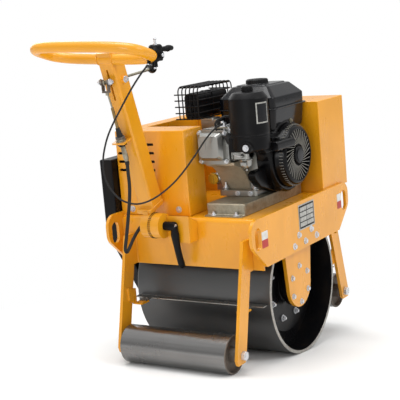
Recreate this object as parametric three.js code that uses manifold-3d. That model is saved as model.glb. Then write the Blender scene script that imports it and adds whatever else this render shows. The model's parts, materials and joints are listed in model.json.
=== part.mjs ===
// Walk-behind single-drum road roller: one drum, a small support roller at each end,
// a petrol engine on the deck and a clamped control handle.
// Millimetres, +Z up, +X towards the front, +Y to the operator's left. Every piece is drawn on the
// level machine: the ground is at Z 0 and the drum's axis crosses it above the origin.

import * as THREE from 'three';
import { mergeVertices } from 'three/addons/utils/BufferGeometryUtils.js';
import Module from 'manifold-3d';

const wasm = await Module();
wasm.setup();

// ---------------------------------------------------------------- driving dimensions

const SEAT_GAP = 0.3; // between touching pieces
const PIN_CLEARANCE = 0.5; // radial, round a fixed axle

const DRUM_RADIUS = 212.5;
const DRUM_WIDTH = 470;
const DRUM_WALL = 10;
const STUB_RADIUS = 30; // fixed shaft ends that carry the drum

const ROLLER_RADIUS = 57;
const ROLLER_WALL = 5;
const ROLLER_LIFT = 36; // underside of a support roller above the ground on the level machine
const ROLLER_DRUM_GAP = 76.5; // between the drum and a support roller, along X
const ROLLER_ARM_GAP = 17;
const AXLE_RADIUS = 10;

const DECK_THICK = 6;
const DECK_OVER_DRUM = 33;
const DECK_BEFORE_DRUM = 28; // between the drum and an end panel, along X
const DECK_DEPTH = 148; // height of the end panels
const DECK_BEND = 14;

const PLATE_THICK = 10;
const PLATE_GAP = 7; // drum end to side plate
const PLATE_DEPTH = 146;
const PLATE_OVERHANG = 75.5; // beyond an end panel
const PLATE_RISE = 10; // above the deck
const PLATE_CORNER = 36;
const SLOT_LENGTH = 65;
const SLOT_WIDTH = 35;

const HANGER_RADIUS = 71.5;
const HANGER_SHOULDER_HALF = 90;
const HANGER_THICK = 12;
const HANGER_INSET = 18; // thickness of the pad between side plate and hanger
const FLANGE_RADIUS = 67;
const FLANGE_THICK = 17;

const ARM_THICK = 10;
const ARM_WIDTH = 51.5;
const ARM_SLOPE = 0.249; // the arms run outwards by this share of their fall
const ARM_INSET = 34; // side plate to arm
const SCRAPER_GAP = 5.5; // scraper edge to drum
const SCRAPER_THICK = 3;

const SHEET = 3; // wall of the sheet covers
const REAR_COVER_HEIGHT = 256;
const REAR_COVER_DEPTH = 100;
const SIDE_COVER_DEPTH = 50; // along Y
const FRONT_COVER_HEIGHT = 288;
const FRONT_COVER_DEPTH = 180;
const GUARD_WIDTH = 46; // belt guard, along Y

const HUB_RADIUS = 37;
const COLUMN_Y = 109;
const COLUMN_WIDTH = 50; // along Y
const COLUMN_DEPTH = 57;
const COLUMN_LENGTH = 485;
const COLUMN_TILT = THREE.MathUtils.degToRad(16.6);
const FOOT_THICK = 14;
const RIM_RADIUS = 15; // tube of the hand loop
const TRAVEL_CABLE_RADIUS = 5;
const THROTTLE_CABLE_RADIUS = 2.5;

// ---------------------------------------------------------------- derived places

const DRUM_END = DRUM_WIDTH / 2;
const PLATE_INNER = DRUM_END + PLATE_GAP;
const PLATE_OUTER = PLATE_INNER + PLATE_THICK;
const DECK_TOP = 2 * DRUM_RADIUS + DECK_OVER_DRUM + DECK_THICK;
const DECK_HALF = DRUM_RADIUS + DECK_BEFORE_DRUM + DECK_THICK;
const SKIRT_BOTTOM = DECK_TOP - DECK_DEPTH;
const PLATE_TOP = DECK_TOP + PLATE_RISE;
const PLATE_BOTTOM = PLATE_TOP - PLATE_DEPTH;
const PLATE_HALF_LENGTH = DECK_HALF + PLATE_OVERHANG;
const SLOT_OFFSET = PLATE_HALF_LENGTH - 35.5;
const SLOT_HEIGHT = PLATE_TOP - 56.5;
const HANGER_OUTER = PLATE_INNER - HANGER_INSET;
const HANGER_INNER = HANGER_OUTER - HANGER_THICK;
const FLANGE_FACE = HANGER_INNER - SEAT_GAP;
const CORE_HUB_END = FLANGE_FACE - FLANGE_THICK - 8;
const STUB_INNER = CORE_HUB_END - 53;
const ROLLER_REACH = DRUM_RADIUS + ROLLER_RADIUS + ROLLER_DRUM_GAP; // drum axis to roller axis
const ROLLER_AXLE_Z = ROLLER_LIFT + ROLLER_RADIUS;
const ARM_OUTER = PLATE_INNER - ARM_INSET;
const ARM_INNER = ARM_OUTER - ARM_THICK;
const ARM_TOP = DECK_TOP - 53;
const ROLLER_HALF = ARM_INNER - ROLLER_ARM_GAP;
const SCRAPER_Z = DRUM_RADIUS - 9.5;
const SCRAPER_EDGE = -DRUM_RADIUS - SCRAPER_GAP;
const COVER_BASE = DECK_TOP + SEAT_GAP;
const COVER_RIGHT = PLATE_INNER - SEAT_GAP;
const COVER_LEFT = PLATE_OUTER - 2;
const REAR_COVER = { x0: -DECK_HALF + 12.5, y0: 2, top: DECK_TOP + REAR_COVER_HEIGHT };
const FRONT_COVER = { x0: DECK_HALF - 80.5, top: DECK_TOP + FRONT_COVER_HEIGHT };
const ENGINE_X = FRONT_COVER.x0 - 136; // crank axis
const ENGINE_Z = DECK_TOP + 36; // top of the engine's mounting channel
const PIVOT = { x: -DECK_HALF - 58.5, z: DECK_TOP - 14 }; // handle clamp axis
const HUB_FACE = COLUMN_Y - COLUMN_WIDTH / 2 - 4; // where the two clamped hubs meet
const FIXED_HUB = { y0: HUB_FACE - 33, y1: HUB_FACE - SEAT_GAP };
const MOVING_HUB = { y0: HUB_FACE, y1: HUB_FACE + 32 };

// ---------------------------------------------------------------- materials

const finish = (hex, roughness = 0.4, metalness = 0.1) => ({ color: hex, roughness, metalness });
const YELLOW = finish(0xd99a2b);
const BLACK = finish(0x232220, 0.45);
const DRUM_STEEL = finish(0x5a5a5a, 0.35, 0.8);
const ZINC = finish(0x9a9a94, 0.35, 0.8);
const CAST = finish(0x8d8f8c, 0.5, 0.6);

// ---------------------------------------------------------------- solid helpers

// A closed geometry as a solid. Triangles that shrink to a line at a lathe's axis are dropped.
function toSolid(geometry) {
  const plain = geometry.index ? geometry.toNonIndexed() : geometry.clone();
  for (const attribute of Object.keys(plain.attributes)) {
    if (attribute !== 'position') plain.deleteAttribute(attribute);
  }
  const merged = mergeVertices(plain, 1e-3);
  const corners = merged.index.array;
  const triangles = [];
  for (let i = 0; i < corners.length; i += 3) {
    const [a, b, c] = [corners[i], corners[i + 1], corners[i + 2]];
    if (a !== b && b !== c && c !== a) triangles.push(a, b, c);
  }
  return new wasm.Manifold(new wasm.Mesh({
    numProp: 3,
    vertProperties: new Float32Array(merged.attributes.position.array),
    triVerts: new Uint32Array(triangles),
  }));
}

function toGeometry(solid) {
  const { vertProperties, triVerts, numProp } = solid.getMesh();
  const positions = new Float32Array((vertProperties.length / numProp) * 3);
  for (let i = 0; i < positions.length / 3; i++) {
    positions.set(vertProperties.subarray(i * numProp, i * numProp + 3), i * 3);
  }
  const geometry = new THREE.BufferGeometry();
  geometry.setAttribute('position', new THREE.BufferAttribute(positions, 3));
  geometry.setIndex(new THREE.BufferAttribute(new Uint32Array(triVerts), 1));
  geometry.computeVertexNormals();
  return geometry;
}

function part(name, solid, surface) {
  const mesh = new THREE.Mesh(toGeometry(solid), new THREE.MeshStandardMaterial(surface));
  mesh.name = name;
  return mesh;
}

const join = (first, ...rest) => rest.reduce((sum, next) => sum.add(next), first);
const cut = (first, ...rest) => rest.reduce((left, next) => left.subtract(next), first);

function box(x0, x1, y0, y1, z0, z1) {
  const geometry = new THREE.BoxGeometry(x1 - x0, y1 - y0, z1 - z0);
  geometry.translate((x0 + x1) / 2, (y0 + y1) / 2, (z0 + z1) / 2);
  return toSolid(geometry);
}

function extrude(shape, depth, curveSegments) {
  return new THREE.ExtrudeGeometry(shape, { depth, bevelEnabled: false, curveSegments });
}

// Outline in X and Z, extruded along Y from y0 to y1.
function plateXZ(shape, y0, y1, curveSegments = 10) {
  const geometry = extrude(shape, y1 - y0, curveSegments);
  geometry.rotateX(Math.PI / 2);
  geometry.translate(0, y1, 0);
  return toSolid(geometry);
}

// Outline in Y and Z, extruded along X from x0 to x1.
function plateYZ(shape, x0, x1, curveSegments = 4) {
  const geometry = extrude(shape, x1 - x0, curveSegments);
  geometry.rotateX(Math.PI / 2);
  geometry.rotateZ(Math.PI / 2);
  geometry.translate(x0, 0, 0);
  return toSolid(geometry);
}

// Cylinder or cone along Y.
function rodY(radius, y0, y1, x, z, sides = 32, farRadius = radius) {
  const geometry = new THREE.CylinderGeometry(farRadius, radius, y1 - y0, sides);
  geometry.translate(x, (y0 + y1) / 2, z);
  return toSolid(geometry);
}

// Upright cylinder or cone.
function rodZ(bottomRadius, topRadius, z0, z1, x, y, sides = 32) {
  const geometry = new THREE.CylinderGeometry(topRadius, bottomRadius, z1 - z0, sides);
  geometry.rotateX(Math.PI / 2);
  geometry.translate(x, y, (z0 + z1) / 2);
  return toSolid(geometry);
}

// Profile of [radius, y] points turned about the Y axis. It starts and ends on the axis or closes on
// itself.
function turnedY(profile, segments = 72) {
  const points = profile.map(([radius, y]) => new THREE.Vector2(radius, y));
  if (THREE.ShapeUtils.area(points) < 0) points.reverse();
  return toSolid(new THREE.LatheGeometry(points, segments));
}

function polygon(points) {
  const shape = new THREE.Shape();
  points.forEach(([x, y], i) => (i === 0 ? shape.moveTo(x, y) : shape.lineTo(x, y)));
  shape.closePath();
  return shape;
}

function tube(points, radius, { sides = 12, steps = 1 } = {}) {
  const vectors = points.map(([x, y, z]) => new THREE.Vector3(x, y, z));
  const extrudePath = new THREE.CatmullRomCurve3(vectors, false, 'centripetal');
  const section = polygon(Array.from({ length: sides }, (_, i) => {
    const angle = (i / sides) * Math.PI * 2;
    return [radius * Math.cos(angle), radius * Math.sin(angle)];
  }));
  return toSolid(new THREE.ExtrudeGeometry(section, { steps, extrudePath, bevelEnabled: false }));
}

// Rectangle whose corners share one radius.
function roundedRectangle(x0, x1, y0, y1, radius) {
  const shape = new THREE.Shape();
  shape.absarc(x1 - radius, y0 + radius, radius, -Math.PI / 2, 0, false);
  shape.absarc(x1 - radius, y1 - radius, radius, 0, Math.PI / 2, false);
  shape.absarc(x0 + radius, y1 - radius, radius, Math.PI / 2, Math.PI, false);
  shape.absarc(x0 + radius, y0 + radius, radius, Math.PI, Math.PI * 1.5, false);
  shape.closePath();
  return shape;
}

const toRight = (solid) => solid.mirror([0, 1, 0]);
const toFront = (solid) => solid.mirror([1, 0, 0]);

// ---------------------------------------------------------------- frame

function slotPath(x) {
  const half = (SLOT_LENGTH - SLOT_WIDTH) / 2;
  const radius = SLOT_WIDTH / 2;
  const path = new THREE.Path();
  path.absarc(x, SLOT_HEIGHT + half, radius, 0, Math.PI, false);
  path.absarc(x, SLOT_HEIGHT - half, radius, Math.PI, Math.PI * 2, false);
  path.closePath();
  return path;
}

function sidePlate() {
  const shape = new THREE.Shape();
  const end = PLATE_HALF_LENGTH;
  const upper = PLATE_TOP - PLATE_CORNER;
  const corner = end - PLATE_CORNER;
  const bottomHalf = end - 79;
  shape.moveTo(-bottomHalf, PLATE_BOTTOM);
  shape.lineTo(bottomHalf, PLATE_BOTTOM);
  shape.lineTo(end - 14, PLATE_BOTTOM + 58);
  shape.quadraticCurveTo(end, PLATE_BOTTOM + 70, end, PLATE_BOTTOM + 90);
  shape.lineTo(end, upper);
  shape.absarc(corner, upper, PLATE_CORNER, 0, Math.PI / 2, false);
  shape.lineTo(-corner, PLATE_TOP);
  shape.absarc(-corner, upper, PLATE_CORNER, Math.PI / 2, Math.PI, false);
  shape.lineTo(-end, PLATE_BOTTOM + 90);
  shape.quadraticCurveTo(-end, PLATE_BOTTOM + 70, -end + 14, PLATE_BOTTOM + 58);
  shape.closePath();
  shape.holes.push(slotPath(SLOT_OFFSET), slotPath(-SLOT_OFFSET));
  return plateXZ(shape, PLATE_INNER, PLATE_OUTER);
}

// One sheet bent down at both ends.
function deck() {
  const shape = new THREE.Shape();
  const innerHalf = DECK_HALF - DECK_THICK;
  const innerTop = DECK_TOP - DECK_THICK;
  const innerBend = DECK_BEND - DECK_THICK;
  shape.moveTo(-DECK_HALF, SKIRT_BOTTOM);
  shape.lineTo(-innerHalf, SKIRT_BOTTOM);
  shape.lineTo(-innerHalf, innerTop - innerBend);
  shape.absarc(-innerHalf + innerBend, innerTop - innerBend, innerBend, Math.PI, Math.PI / 2, true);
  shape.lineTo(innerHalf - innerBend, innerTop);
  shape.absarc(innerHalf - innerBend, innerTop - innerBend, innerBend, Math.PI / 2, 0, true);
  shape.lineTo(innerHalf, SKIRT_BOTTOM);
  shape.lineTo(DECK_HALF, SKIRT_BOTTOM);
  shape.lineTo(DECK_HALF, DECK_TOP - DECK_BEND);
  shape.absarc(DECK_HALF - DECK_BEND, DECK_TOP - DECK_BEND, DECK_BEND, 0, Math.PI / 2, false);
  shape.lineTo(-DECK_HALF + DECK_BEND, DECK_TOP);
  shape.absarc(-DECK_HALF + DECK_BEND, DECK_TOP - DECK_BEND, DECK_BEND, Math.PI / 2, Math.PI, false);
  shape.closePath();
  const half = PLATE_INNER - SEAT_GAP;
  return plateXZ(shape, -half, half, 4);
}

// Hangs inside the drum's open end and carries the bearing flange.
function hanger() {
  const shoulder = PLATE_BOTTOM + 32;
  const shape = new THREE.Shape();
  shape.moveTo(-60, shoulder + 30);
  shape.lineTo(-HANGER_SHOULDER_HALF, shoulder);
  shape.absarc(0, DRUM_RADIUS, HANGER_RADIUS, Math.PI, Math.PI * 2, false);
  shape.lineTo(HANGER_SHOULDER_HALF, shoulder);
  shape.lineTo(60, shoulder + 30);
  shape.closePath();
  const plate = plateXZ(shape, HANGER_INNER, HANGER_OUTER, 16);
  const padHalf = HANGER_SHOULDER_HALF - 6;
  const pad = box(-padHalf, padHalf, HANGER_OUTER - 2, PLATE_INNER - SEAT_GAP, PLATE_BOTTOM + 4, shoulder);
  return join(plate, pad);
}

function bearingFlange() {
  const back = FLANGE_FACE - FLANGE_THICK;
  const collar = STUB_RADIUS + 12;
  return turnedY([
    [0, STUB_INNER], [STUB_RADIUS, STUB_INNER], [STUB_RADIUS, back - 5], [collar, back - 5],
    [collar, back], [FLANGE_RADIUS, back], [FLANGE_RADIUS, FLANGE_FACE], [0, FLANGE_FACE],
  ], 48).translate([0, 0, DRUM_RADIUS]);
}

// Rear left arm with the angle bracket that carries the scraper.
function arm() {
  const skirt = -DECK_HALF - SEAT_GAP;
  const bottom = ROLLER_AXLE_Z - 24;
  const rearEdge = (z) => -DECK_HALF - 50 - ARM_SLOPE * (ARM_TOP - z);
  const frontEdge = (z) => rearEdge(z) + ARM_WIDTH;
  const blade = plateXZ(polygon([
    [skirt, ARM_TOP], [rearEdge(ARM_TOP), ARM_TOP], [rearEdge(bottom + 16), bottom + 16],
    [rearEdge(bottom) + 10, bottom], [frontEdge(bottom) - 4, bottom], [frontEdge(bottom + 8), bottom + 8],
    [frontEdge(SKIRT_BOTTOM + 1), SKIRT_BOTTOM + 1], [skirt, SKIRT_BOTTOM + 1],
  ]), ARM_INNER, ARM_OUTER);
  const leg = plateXZ(polygon([
    [SCRAPER_EDGE - 99, SCRAPER_Z + 11], [SCRAPER_EDGE - 74, SCRAPER_Z - 6],
    [SCRAPER_EDGE - 63, SCRAPER_Z - 6], [SCRAPER_EDGE - 63, SCRAPER_Z + 42],
    [SCRAPER_EDGE - 99, SCRAPER_Z + 51],
  ]), ARM_INNER - 6, ARM_INNER + 1);
  const shelf = box(SCRAPER_EDGE - 74, SCRAPER_EDGE - 37, ARM_INNER - 33, ARM_INNER - 5,
    SCRAPER_Z - 6, SCRAPER_Z);
  const bore = rodY(AXLE_RADIUS + SEAT_GAP, ARM_INNER - 5, ARM_OUTER + 5, -ROLLER_REACH, ROLLER_AXLE_Z);
  return cut(join(blade, leg, shelf), bore);
}

// Strip along the drum with an ear bolted on each arm's shelf.
function scraper() {
  const end = DRUM_END - 9;
  const z0 = SCRAPER_Z + SEAT_GAP;
  const z1 = z0 + SCRAPER_THICK;
  const strip = box(SCRAPER_EDGE - 23, SCRAPER_EDGE, -end, end, z0, z1);
  const ear = box(SCRAPER_EDGE - 54, SCRAPER_EDGE - 22, ARM_INNER - 33, ARM_INNER - 8, z0, z1);
  return join(strip, ear, toRight(ear));
}

function axle() {
  const outer = ARM_OUTER + SEAT_GAP;
  const rod = rodY(AXLE_RADIUS, -outer - 1, outer + 1, -ROLLER_REACH, ROLLER_AXLE_Z);
  const head = rodY(14, outer, outer + 11, -ROLLER_REACH, ROLLER_AXLE_Z, 6);
  return join(rod, head, toRight(head));
}

// ---------------------------------------------------------------- rolling parts

function drumShell() {
  const inner = DRUM_RADIUS - DRUM_WALL;
  return turnedY([
    [inner, -DRUM_END], [DRUM_RADIUS, -DRUM_END], [DRUM_RADIUS, DRUM_END], [inner, DRUM_END],
    [inner, -DRUM_END],
  ], 96).translate([0, 0, DRUM_RADIUS]);
}

// Two webs with hubs round the stub shafts, joined by the closed middle of the drum.
function drumCore() {
  const web = DRUM_RADIUS - DRUM_WALL - SEAT_GAP;
  const bore = STUB_RADIUS + PIN_CLEARANCE;
  const hub = STUB_RADIUS + 25;
  const disc = CORE_HUB_END - 9;
  const half = [
    [0, STUB_INNER - 4], [bore, STUB_INNER - 4], [bore, CORE_HUB_END], [hub, CORE_HUB_END],
    [hub, disc], [web * 0.75, disc], [web * 0.75, disc - 6], [web * 0.55, disc - 6],
    [web * 0.55, disc - 18], [web, disc - 18], [web, disc - 26],
  ];
  const otherHalf = half.map(([radius, y]) => [radius, -y]).reverse();
  return turnedY([...half, ...otherHalf], 72).translate([0, 0, DRUM_RADIUS]);
}

function rollerTube() {
  const inner = ROLLER_RADIUS - ROLLER_WALL;
  return turnedY([
    [inner, -ROLLER_HALF], [ROLLER_RADIUS, -ROLLER_HALF], [ROLLER_RADIUS, ROLLER_HALF],
    [inner, ROLLER_HALF], [inner, -ROLLER_HALF],
  ], 56).translate([-ROLLER_REACH, 0, ROLLER_AXLE_Z]);
}

function rollerCore() {
  const disc = ROLLER_RADIUS - ROLLER_WALL - SEAT_GAP;
  const face = ROLLER_HALF - 14;
  const hub = AXLE_RADIUS + 12;
  const bore = AXLE_RADIUS + PIN_CLEARANCE;
  const end = ARM_INNER - 3;
  return turnedY([
    [bore, -end], [hub, -end], [hub, -face], [disc, -face], [disc, -face + 8], [hub, -face + 8],
    [hub, face - 8], [disc, face - 8], [disc, face], [hub, face], [hub, end], [bore, end], [bore, -end],
  ], 48).translate([-ROLLER_REACH, 0, ROLLER_AXLE_Z]);
}

// ---------------------------------------------------------------- covers

// Sheet cover, open underneath, with room for the side plate that stands higher than the deck.
function cover(x0, x1, y0, y1, top) {
  return cut(
    box(x0, x1, y0, y1, COVER_BASE, top),
    box(x0 + SHEET, x1 - SHEET, y0 + SHEET, y1 - SHEET, COVER_BASE - 1, top - SHEET),
    box(x0 - 1, x1 + 1, COVER_RIGHT, PLATE_OUTER, COVER_BASE - 1, PLATE_TOP + SEAT_GAP),
  );
}

const VENTS = { rows: 4, pitch: 25.8, height: 8, width: 40, firstDrop: 41 };

function rearCover() {
  const { x0, y0, top } = REAR_COVER;
  const vents = [];
  for (const y of [COVER_LEFT - 118, COVER_LEFT - 26]) {
    for (let row = 0; row < VENTS.rows; row++) {
      const z = top - VENTS.firstDrop - row * VENTS.pitch;
      vents.push(box(x0 - 1, x0 + SHEET + 1, y - VENTS.width / 2, y + VENTS.width / 2,
        z - VENTS.height / 2, z + VENTS.height / 2));
    }
  }
  return cut(cover(x0, x0 + REAR_COVER_DEPTH, y0, COVER_LEFT, top), ...vents);
}

function sideCover() {
  return cover(REAR_COVER.x0 + REAR_COVER_DEPTH + SEAT_GAP, FRONT_COVER.x0 - SEAT_GAP,
    COVER_LEFT - SIDE_COVER_DEPTH, COVER_LEFT, REAR_COVER.top);
}

function frontCover() {
  const { x0, top } = FRONT_COVER;
  return cover(x0, x0 + FRONT_COVER_DEPTH, -COVER_RIGHT, COVER_LEFT, top);
}

function beltGuard() {
  const inner = PLATE_OUTER + SEAT_GAP;
  const top = DECK_TOP + 173;
  const rear = -DECK_HALF - 15.5;
  const foot = Math.PI + 0.55;
  const radius = 120;
  const shape = new THREE.Shape();
  shape.moveTo(rear, top);
  shape.lineTo(rear, DECK_TOP - 56);
  shape.lineTo(radius * Math.cos(foot), DRUM_RADIUS + radius * Math.sin(foot));
  shape.absarc(0, DRUM_RADIUS, radius, foot, Math.PI * 2, false);
  shape.lineTo(radius, top);
  shape.closePath();
  return plateXZ(shape, inner, inner + GUARD_WIDTH, 16);
}

// ---------------------------------------------------------------- engine
// Drawn with X 0 at the crank's axis and Z 0 on top of the mounting channel, then moved into place.

const onMount = (solid) => solid.translate([ENGINE_X, 0, ENGINE_Z]);
const CRANK_Z = 107;
const CRANKCASE = { y0: -148, y1: 10 };
const CYLINDER = { x0: -180, x1: -30, y0: -114, y1: -2, z0: 112, z1: 214 };
const HOUSING_TOP = 186;
const HOUSING_FACE = -200;
const EXHAUST = { x0: -110, x1: -66, y1: 38, top: 236 };
const TANK = { x0: -86, x1: 124, y0: -198, y1: -14, z0: HOUSING_TOP + SEAT_GAP, z1: 306 };
const FILTER = { x: -182, y: -176, radius: 57, z0: 150 };
const MUFFLER = { x0: -146, x1: 30, y0: 18, y1: 66, z0: EXHAUST.top + SEAT_GAP, z1: 315 };
const CAGE = { x0: -155, x1: 50, y0: 8, y1: 97, z0: 235, z1: 338, wire: 4 };

function engineMount() {
  const thick = 4;
  const [x0, x1, y0, y1] = [-236, 120, -172, -44];
  const z0 = COVER_BASE - ENGINE_Z;
  return onMount(cut(
    box(x0, x1, y0, y1, z0, 0),
    box(x0 - 1, x1 + 1, y0 + thick, y1 - thick, z0 - 1, -thick),
  ));
}

function engineBlock() {
  const { x0, x1, y0, y1, z0, z1 } = CYLINDER;
  const foot = box(-125, 88, CRANKCASE.y0, -20, SEAT_GAP, 22);
  const crankcase = box(-92, 76, CRANKCASE.y0, CRANKCASE.y1, 12, HOUSING_TOP - 1);
  const cylinder = plateXZ(polygon([
    [x0, z0], [-60, z0 - 40], [x1, z0 + 60], [x1, HOUSING_TOP - 6], [TANK.x0, HOUSING_TOP - 6],
    [TANK.x0 - 10, z1], [x0, z1],
  ]), y0, y1);
  const shaft = rodY(32, 0, 60, 0, CRANK_Z, 24);
  const exhaust = box(EXHAUST.x0, EXHAUST.x1, y1 - 8, EXHAUST.y1, z1 - 40, EXHAUST.top);
  return onMount(join(foot, crankcase, cylinder, shaft, exhaust));
}

function valveCover() {
  const { x0, y0, y1, z0, z1 } = CYLINDER;
  const flange = box(x0 - 8, x0 - SEAT_GAP, y0 + 2, y1 - 2, z0, z1);
  const cap = plateXZ(polygon([
    [x0 - 7, z0 + 8], [x0 - 30, z0 + 22], [x0 - 34, z0 + 34], [x0 - 26, z1 - 8], [x0 - 7, z1 - 2],
  ]), y0 + 14, y1 - 14);
  return onMount(join(flange, cap));
}

function blowerHousing() {
  const left = FILTER.x + FILTER.radius + 4;
  const shape = new THREE.Shape();
  shape.moveTo(-66, 4);
  shape.lineTo(58, 4);
  shape.absarc(0, CRANK_Z, 118, -Math.PI / 3, Math.PI / 6, false);
  shape.lineTo(102, HOUSING_TOP);
  shape.lineTo(left, HOUSING_TOP);
  shape.lineTo(left, 128);
  shape.closePath();
  return onMount(plateXZ(shape, HOUSING_FACE, CRANKCASE.y0 - SEAT_GAP));
}

function recoilStarter() {
  const back = HOUSING_FACE - SEAT_GAP;
  return onMount(turnedY([
    [0, back - 40], [78, back - 40], [88, back - 30], [97, back - 8], [97, back], [0, back],
  ], 48).translate([0, 0, CRANK_Z]));
}

// Two pressed halves, bevelled on top and underneath, that meet in a flanged seam.
function fuelTank() {
  const { x0, x1, y0, y1, z0, z1 } = TANK;
  const seam = z0 + 60;
  const outline = (a, b) => polygon([
    [a + 8, z0], [b - 8, z0], [b, seam], [b, z1 - 34], [b - 30, z1], [a + 30, z1], [a, z1 - 34], [a, seam],
  ]);
  const body = plateXZ(outline(x0, x1), y0, y1).intersect(plateYZ(outline(y0, y1), x0, x1));
  const flange = box(x0 - 8, x1 + 8, y0 - 7, y1 + 7, seam - 3, seam + 3);
  const neck = rodZ(26, 26, z1 - 4, z1 + 8, 0, (y0 + y1) / 2);
  return onMount(join(body, flange, neck));
}

function fuelCap() {
  const base = TANK.z1 + 8 + SEAT_GAP;
  return onMount(rodZ(34, 32, base, base + 15, 0, (TANK.y0 + TANK.y1) / 2));
}

// Its two lugs carry the cage.
function muffler() {
  const { x0, x1, y0, y1, z0, z1 } = MUFFLER;
  const body = plateYZ(roundedRectangle(y0, y1, z0, z1, 14), x0, x1);
  const railFace = CAGE.x0 + 1 + CAGE.wire + SEAT_GAP;
  const lugs = [y0 + 14, y1 - 22].map((y) => box(railFace, x0 + 2, y, y + 8, z0, z0 + 10));
  return onMount(join(body, ...lugs));
}

// Wire cage round the muffler: rods on three sides, tied by hoops over the top.
function mufflerCage() {
  const { x0, x1, y0, y1, z0, z1, wire } = CAGE;
  const rods = [];
  for (let i = 0; i < 4; i++) {
    const z = z0 + 2 + (i * (z1 - z0 - 24)) / 3;
    rods.push(cut(
      box(x0 + 1, x1 - 1, y0 + 1, y1, z, z + wire),
      box(x0 + 1 + wire, x1 - 1 - wire, y0 + 1 + wire, y1 + 1, z - 1, z + wire + 1),
    ));
  }
  const hoops = [];
  for (const y of [y0, (y0 + y1) / 2 - 8, y1 - 16]) {
    hoops.push(cut(
      box(x0, x1, y, y + wire, z0, z1),
      box(x0 + wire, x1 - wire, y - 1, y + wire + 1, z0 - 1, z1 - wire),
    ));
  }
  const ties = [x0 + 30, (x0 + x1) / 2, x1 - 30].map((x) => box(x, x + wire, y0 + 1, y1 - 13,
    z1 - wire, z1));
  return onMount(join(...rods, ...hoops, ...ties));
}

function airCleaner() {
  const { x, y, radius, z0 } = FILTER;
  return onMount(join(
    rodZ(radius, radius, z0, z0 + 152, x, y, 40),
    rodZ(radius, radius - 13, z0 + 151, z0 + 168, x, y, 40),
    rodZ(16, 16, z0 + 167, z0 + 186, x, y, 20),
  ));
}

// Between the cylinder's side and the foot of the air cleaner.
function carburettor() {
  const { x, y, z0 } = FILTER;
  const body = box(x - 14, x + 36, y + 6, CYLINDER.y0 - SEAT_GAP, z0 - 30, z0 - SEAT_GAP);
  const bowl = rodZ(16, 20, z0 - 58, z0 - 29, x + 12, y + 28, 20);
  return onMount(join(body, bowl));
}

// ---------------------------------------------------------------- handle

const FOOT_TOP = { x: PIVOT.x + 0.8, z: PIVOT.z + 52 };

// A solid drawn with X 0 on the column's rear face and Z 0 at its foot, turned and moved into place.
const alongColumn = (solid) => solid
  .rotate([0, -THREE.MathUtils.radToDeg(COLUMN_TILT), 0])
  .translate([FOOT_TOP.x, 0, FOOT_TOP.z]);

// The same for one point, given as its distance behind the rear face, its Y and its height.
function beside(behind, y, up) {
  const [cos, sin] = [Math.cos(COLUMN_TILT), Math.sin(COLUMN_TILT)];
  return [FOOT_TOP.x - behind * cos - up * sin, y, FOOT_TOP.z - behind * sin + up * cos];
}

function handleBracket() {
  const skirt = -DECK_HALF - SEAT_GAP;
  const rear = PIVOT.x + 13;
  const panel = plateXZ(polygon([
    [rear, PIVOT.z + 28], [rear, PIVOT.z - 52], [skirt, PIVOT.z - 52], [skirt, PIVOT.z + 3],
  ]), COLUMN_Y - 137, FIXED_HUB.y0 + 1);
  const web = plateXZ(polygon([
    [PIVOT.x, PIVOT.z + HUB_RADIUS - 3], [PIVOT.x, PIVOT.z - HUB_RADIUS + 3],
    [skirt, PIVOT.z - 40], [skirt, PIVOT.z + 3],
  ]), FIXED_HUB.y0, FIXED_HUB.y1);
  const hub = rodY(HUB_RADIUS, FIXED_HUB.y0, FIXED_HUB.y1, PIVOT.x, PIVOT.z);
  return join(panel, web, hub);
}

// Head of the bolt that clamps the two hubs together, with its lever hanging down.
function clampLever() {
  const face = FIXED_HUB.y0 - SEAT_GAP;
  const boss = rodY(13, face - 38, face, PIVOT.x, PIVOT.z, 24);
  const lever = plateXZ(polygon([
    [-12, -5], [-4, -70], [13, -122], [20, -131], [34, -127], [36, -118], [11, -50], [12, -5],
  ]), face - 38, face - 26).translate([PIVOT.x, 0, PIVOT.z]);
  return cut(join(boss, lever), handleBracketRoom());
}

const handleBracketRoom = () => box(PIVOT.x + 13 - SEAT_GAP, PIVOT.x + 60, COLUMN_Y - 140, FIXED_HUB.y0,
  PIVOT.z - 52 - SEAT_GAP, PIVOT.z + 40);

const LEVER = { ...lever(), thick: 5, slot: 8 };

// The travel lever turns on a bolt through the column, this far up.
function lever() {
  const [x, , z] = beside(-30, COLUMN_Y, 394);
  return { x, z, boltRadius: 4 };
}

function handleColumn() {
  const { y0, y1 } = MOVING_HUB;
  const half = COLUMN_WIDTH / 2;
  const [left, right] = [COLUMN_Y + half, COLUMN_Y - half];
  const hub = rodY(HUB_RADIUS, y0, y1, PIVOT.x, PIVOT.z);
  const lug = box(PIVOT.x - 14, PIVOT.x + 30, y1 - 19, y1, PIVOT.z, PIVOT.z + 44);
  const foot = alongColumn(box(-16, COLUMN_DEPTH + 2, right, left, -FOOT_THICK, 0));
  const bar = alongColumn(box(0, COLUMN_DEPTH, right, left, -1, COLUMN_LENGTH));
  const slotY = [COLUMN_Y - LEVER.slot / 2, COLUMN_Y + LEVER.slot / 2];
  const slots = [
    alongColumn(box(-1, COLUMN_DEPTH / 2, ...slotY, 342, 435)),
    alongColumn(box(COLUMN_DEPTH / 2 - 1, COLUMN_DEPTH + 1, ...slotY, 375, 432)),
  ];
  const bolt = join(
    rodY(LEVER.boltRadius, right - 6, left + 1, LEVER.x, LEVER.z, 16),
    rodY(9, right - 12, right + 1, LEVER.x, LEVER.z, 6),
  );
  const drilled = cut(join(hub, lug, foot, bar), ...slots, handLoop(RIM_RADIUS + SEAT_GAP));
  return join(drilled, bolt);
}

const LOOP = { back: 191, right: 10, up: 520, halfDepth: 74, halfWidth: 178, pitch: 0.304, roll: 0.05 };
const LOOP_SQUARENESS = 0.61;

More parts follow.
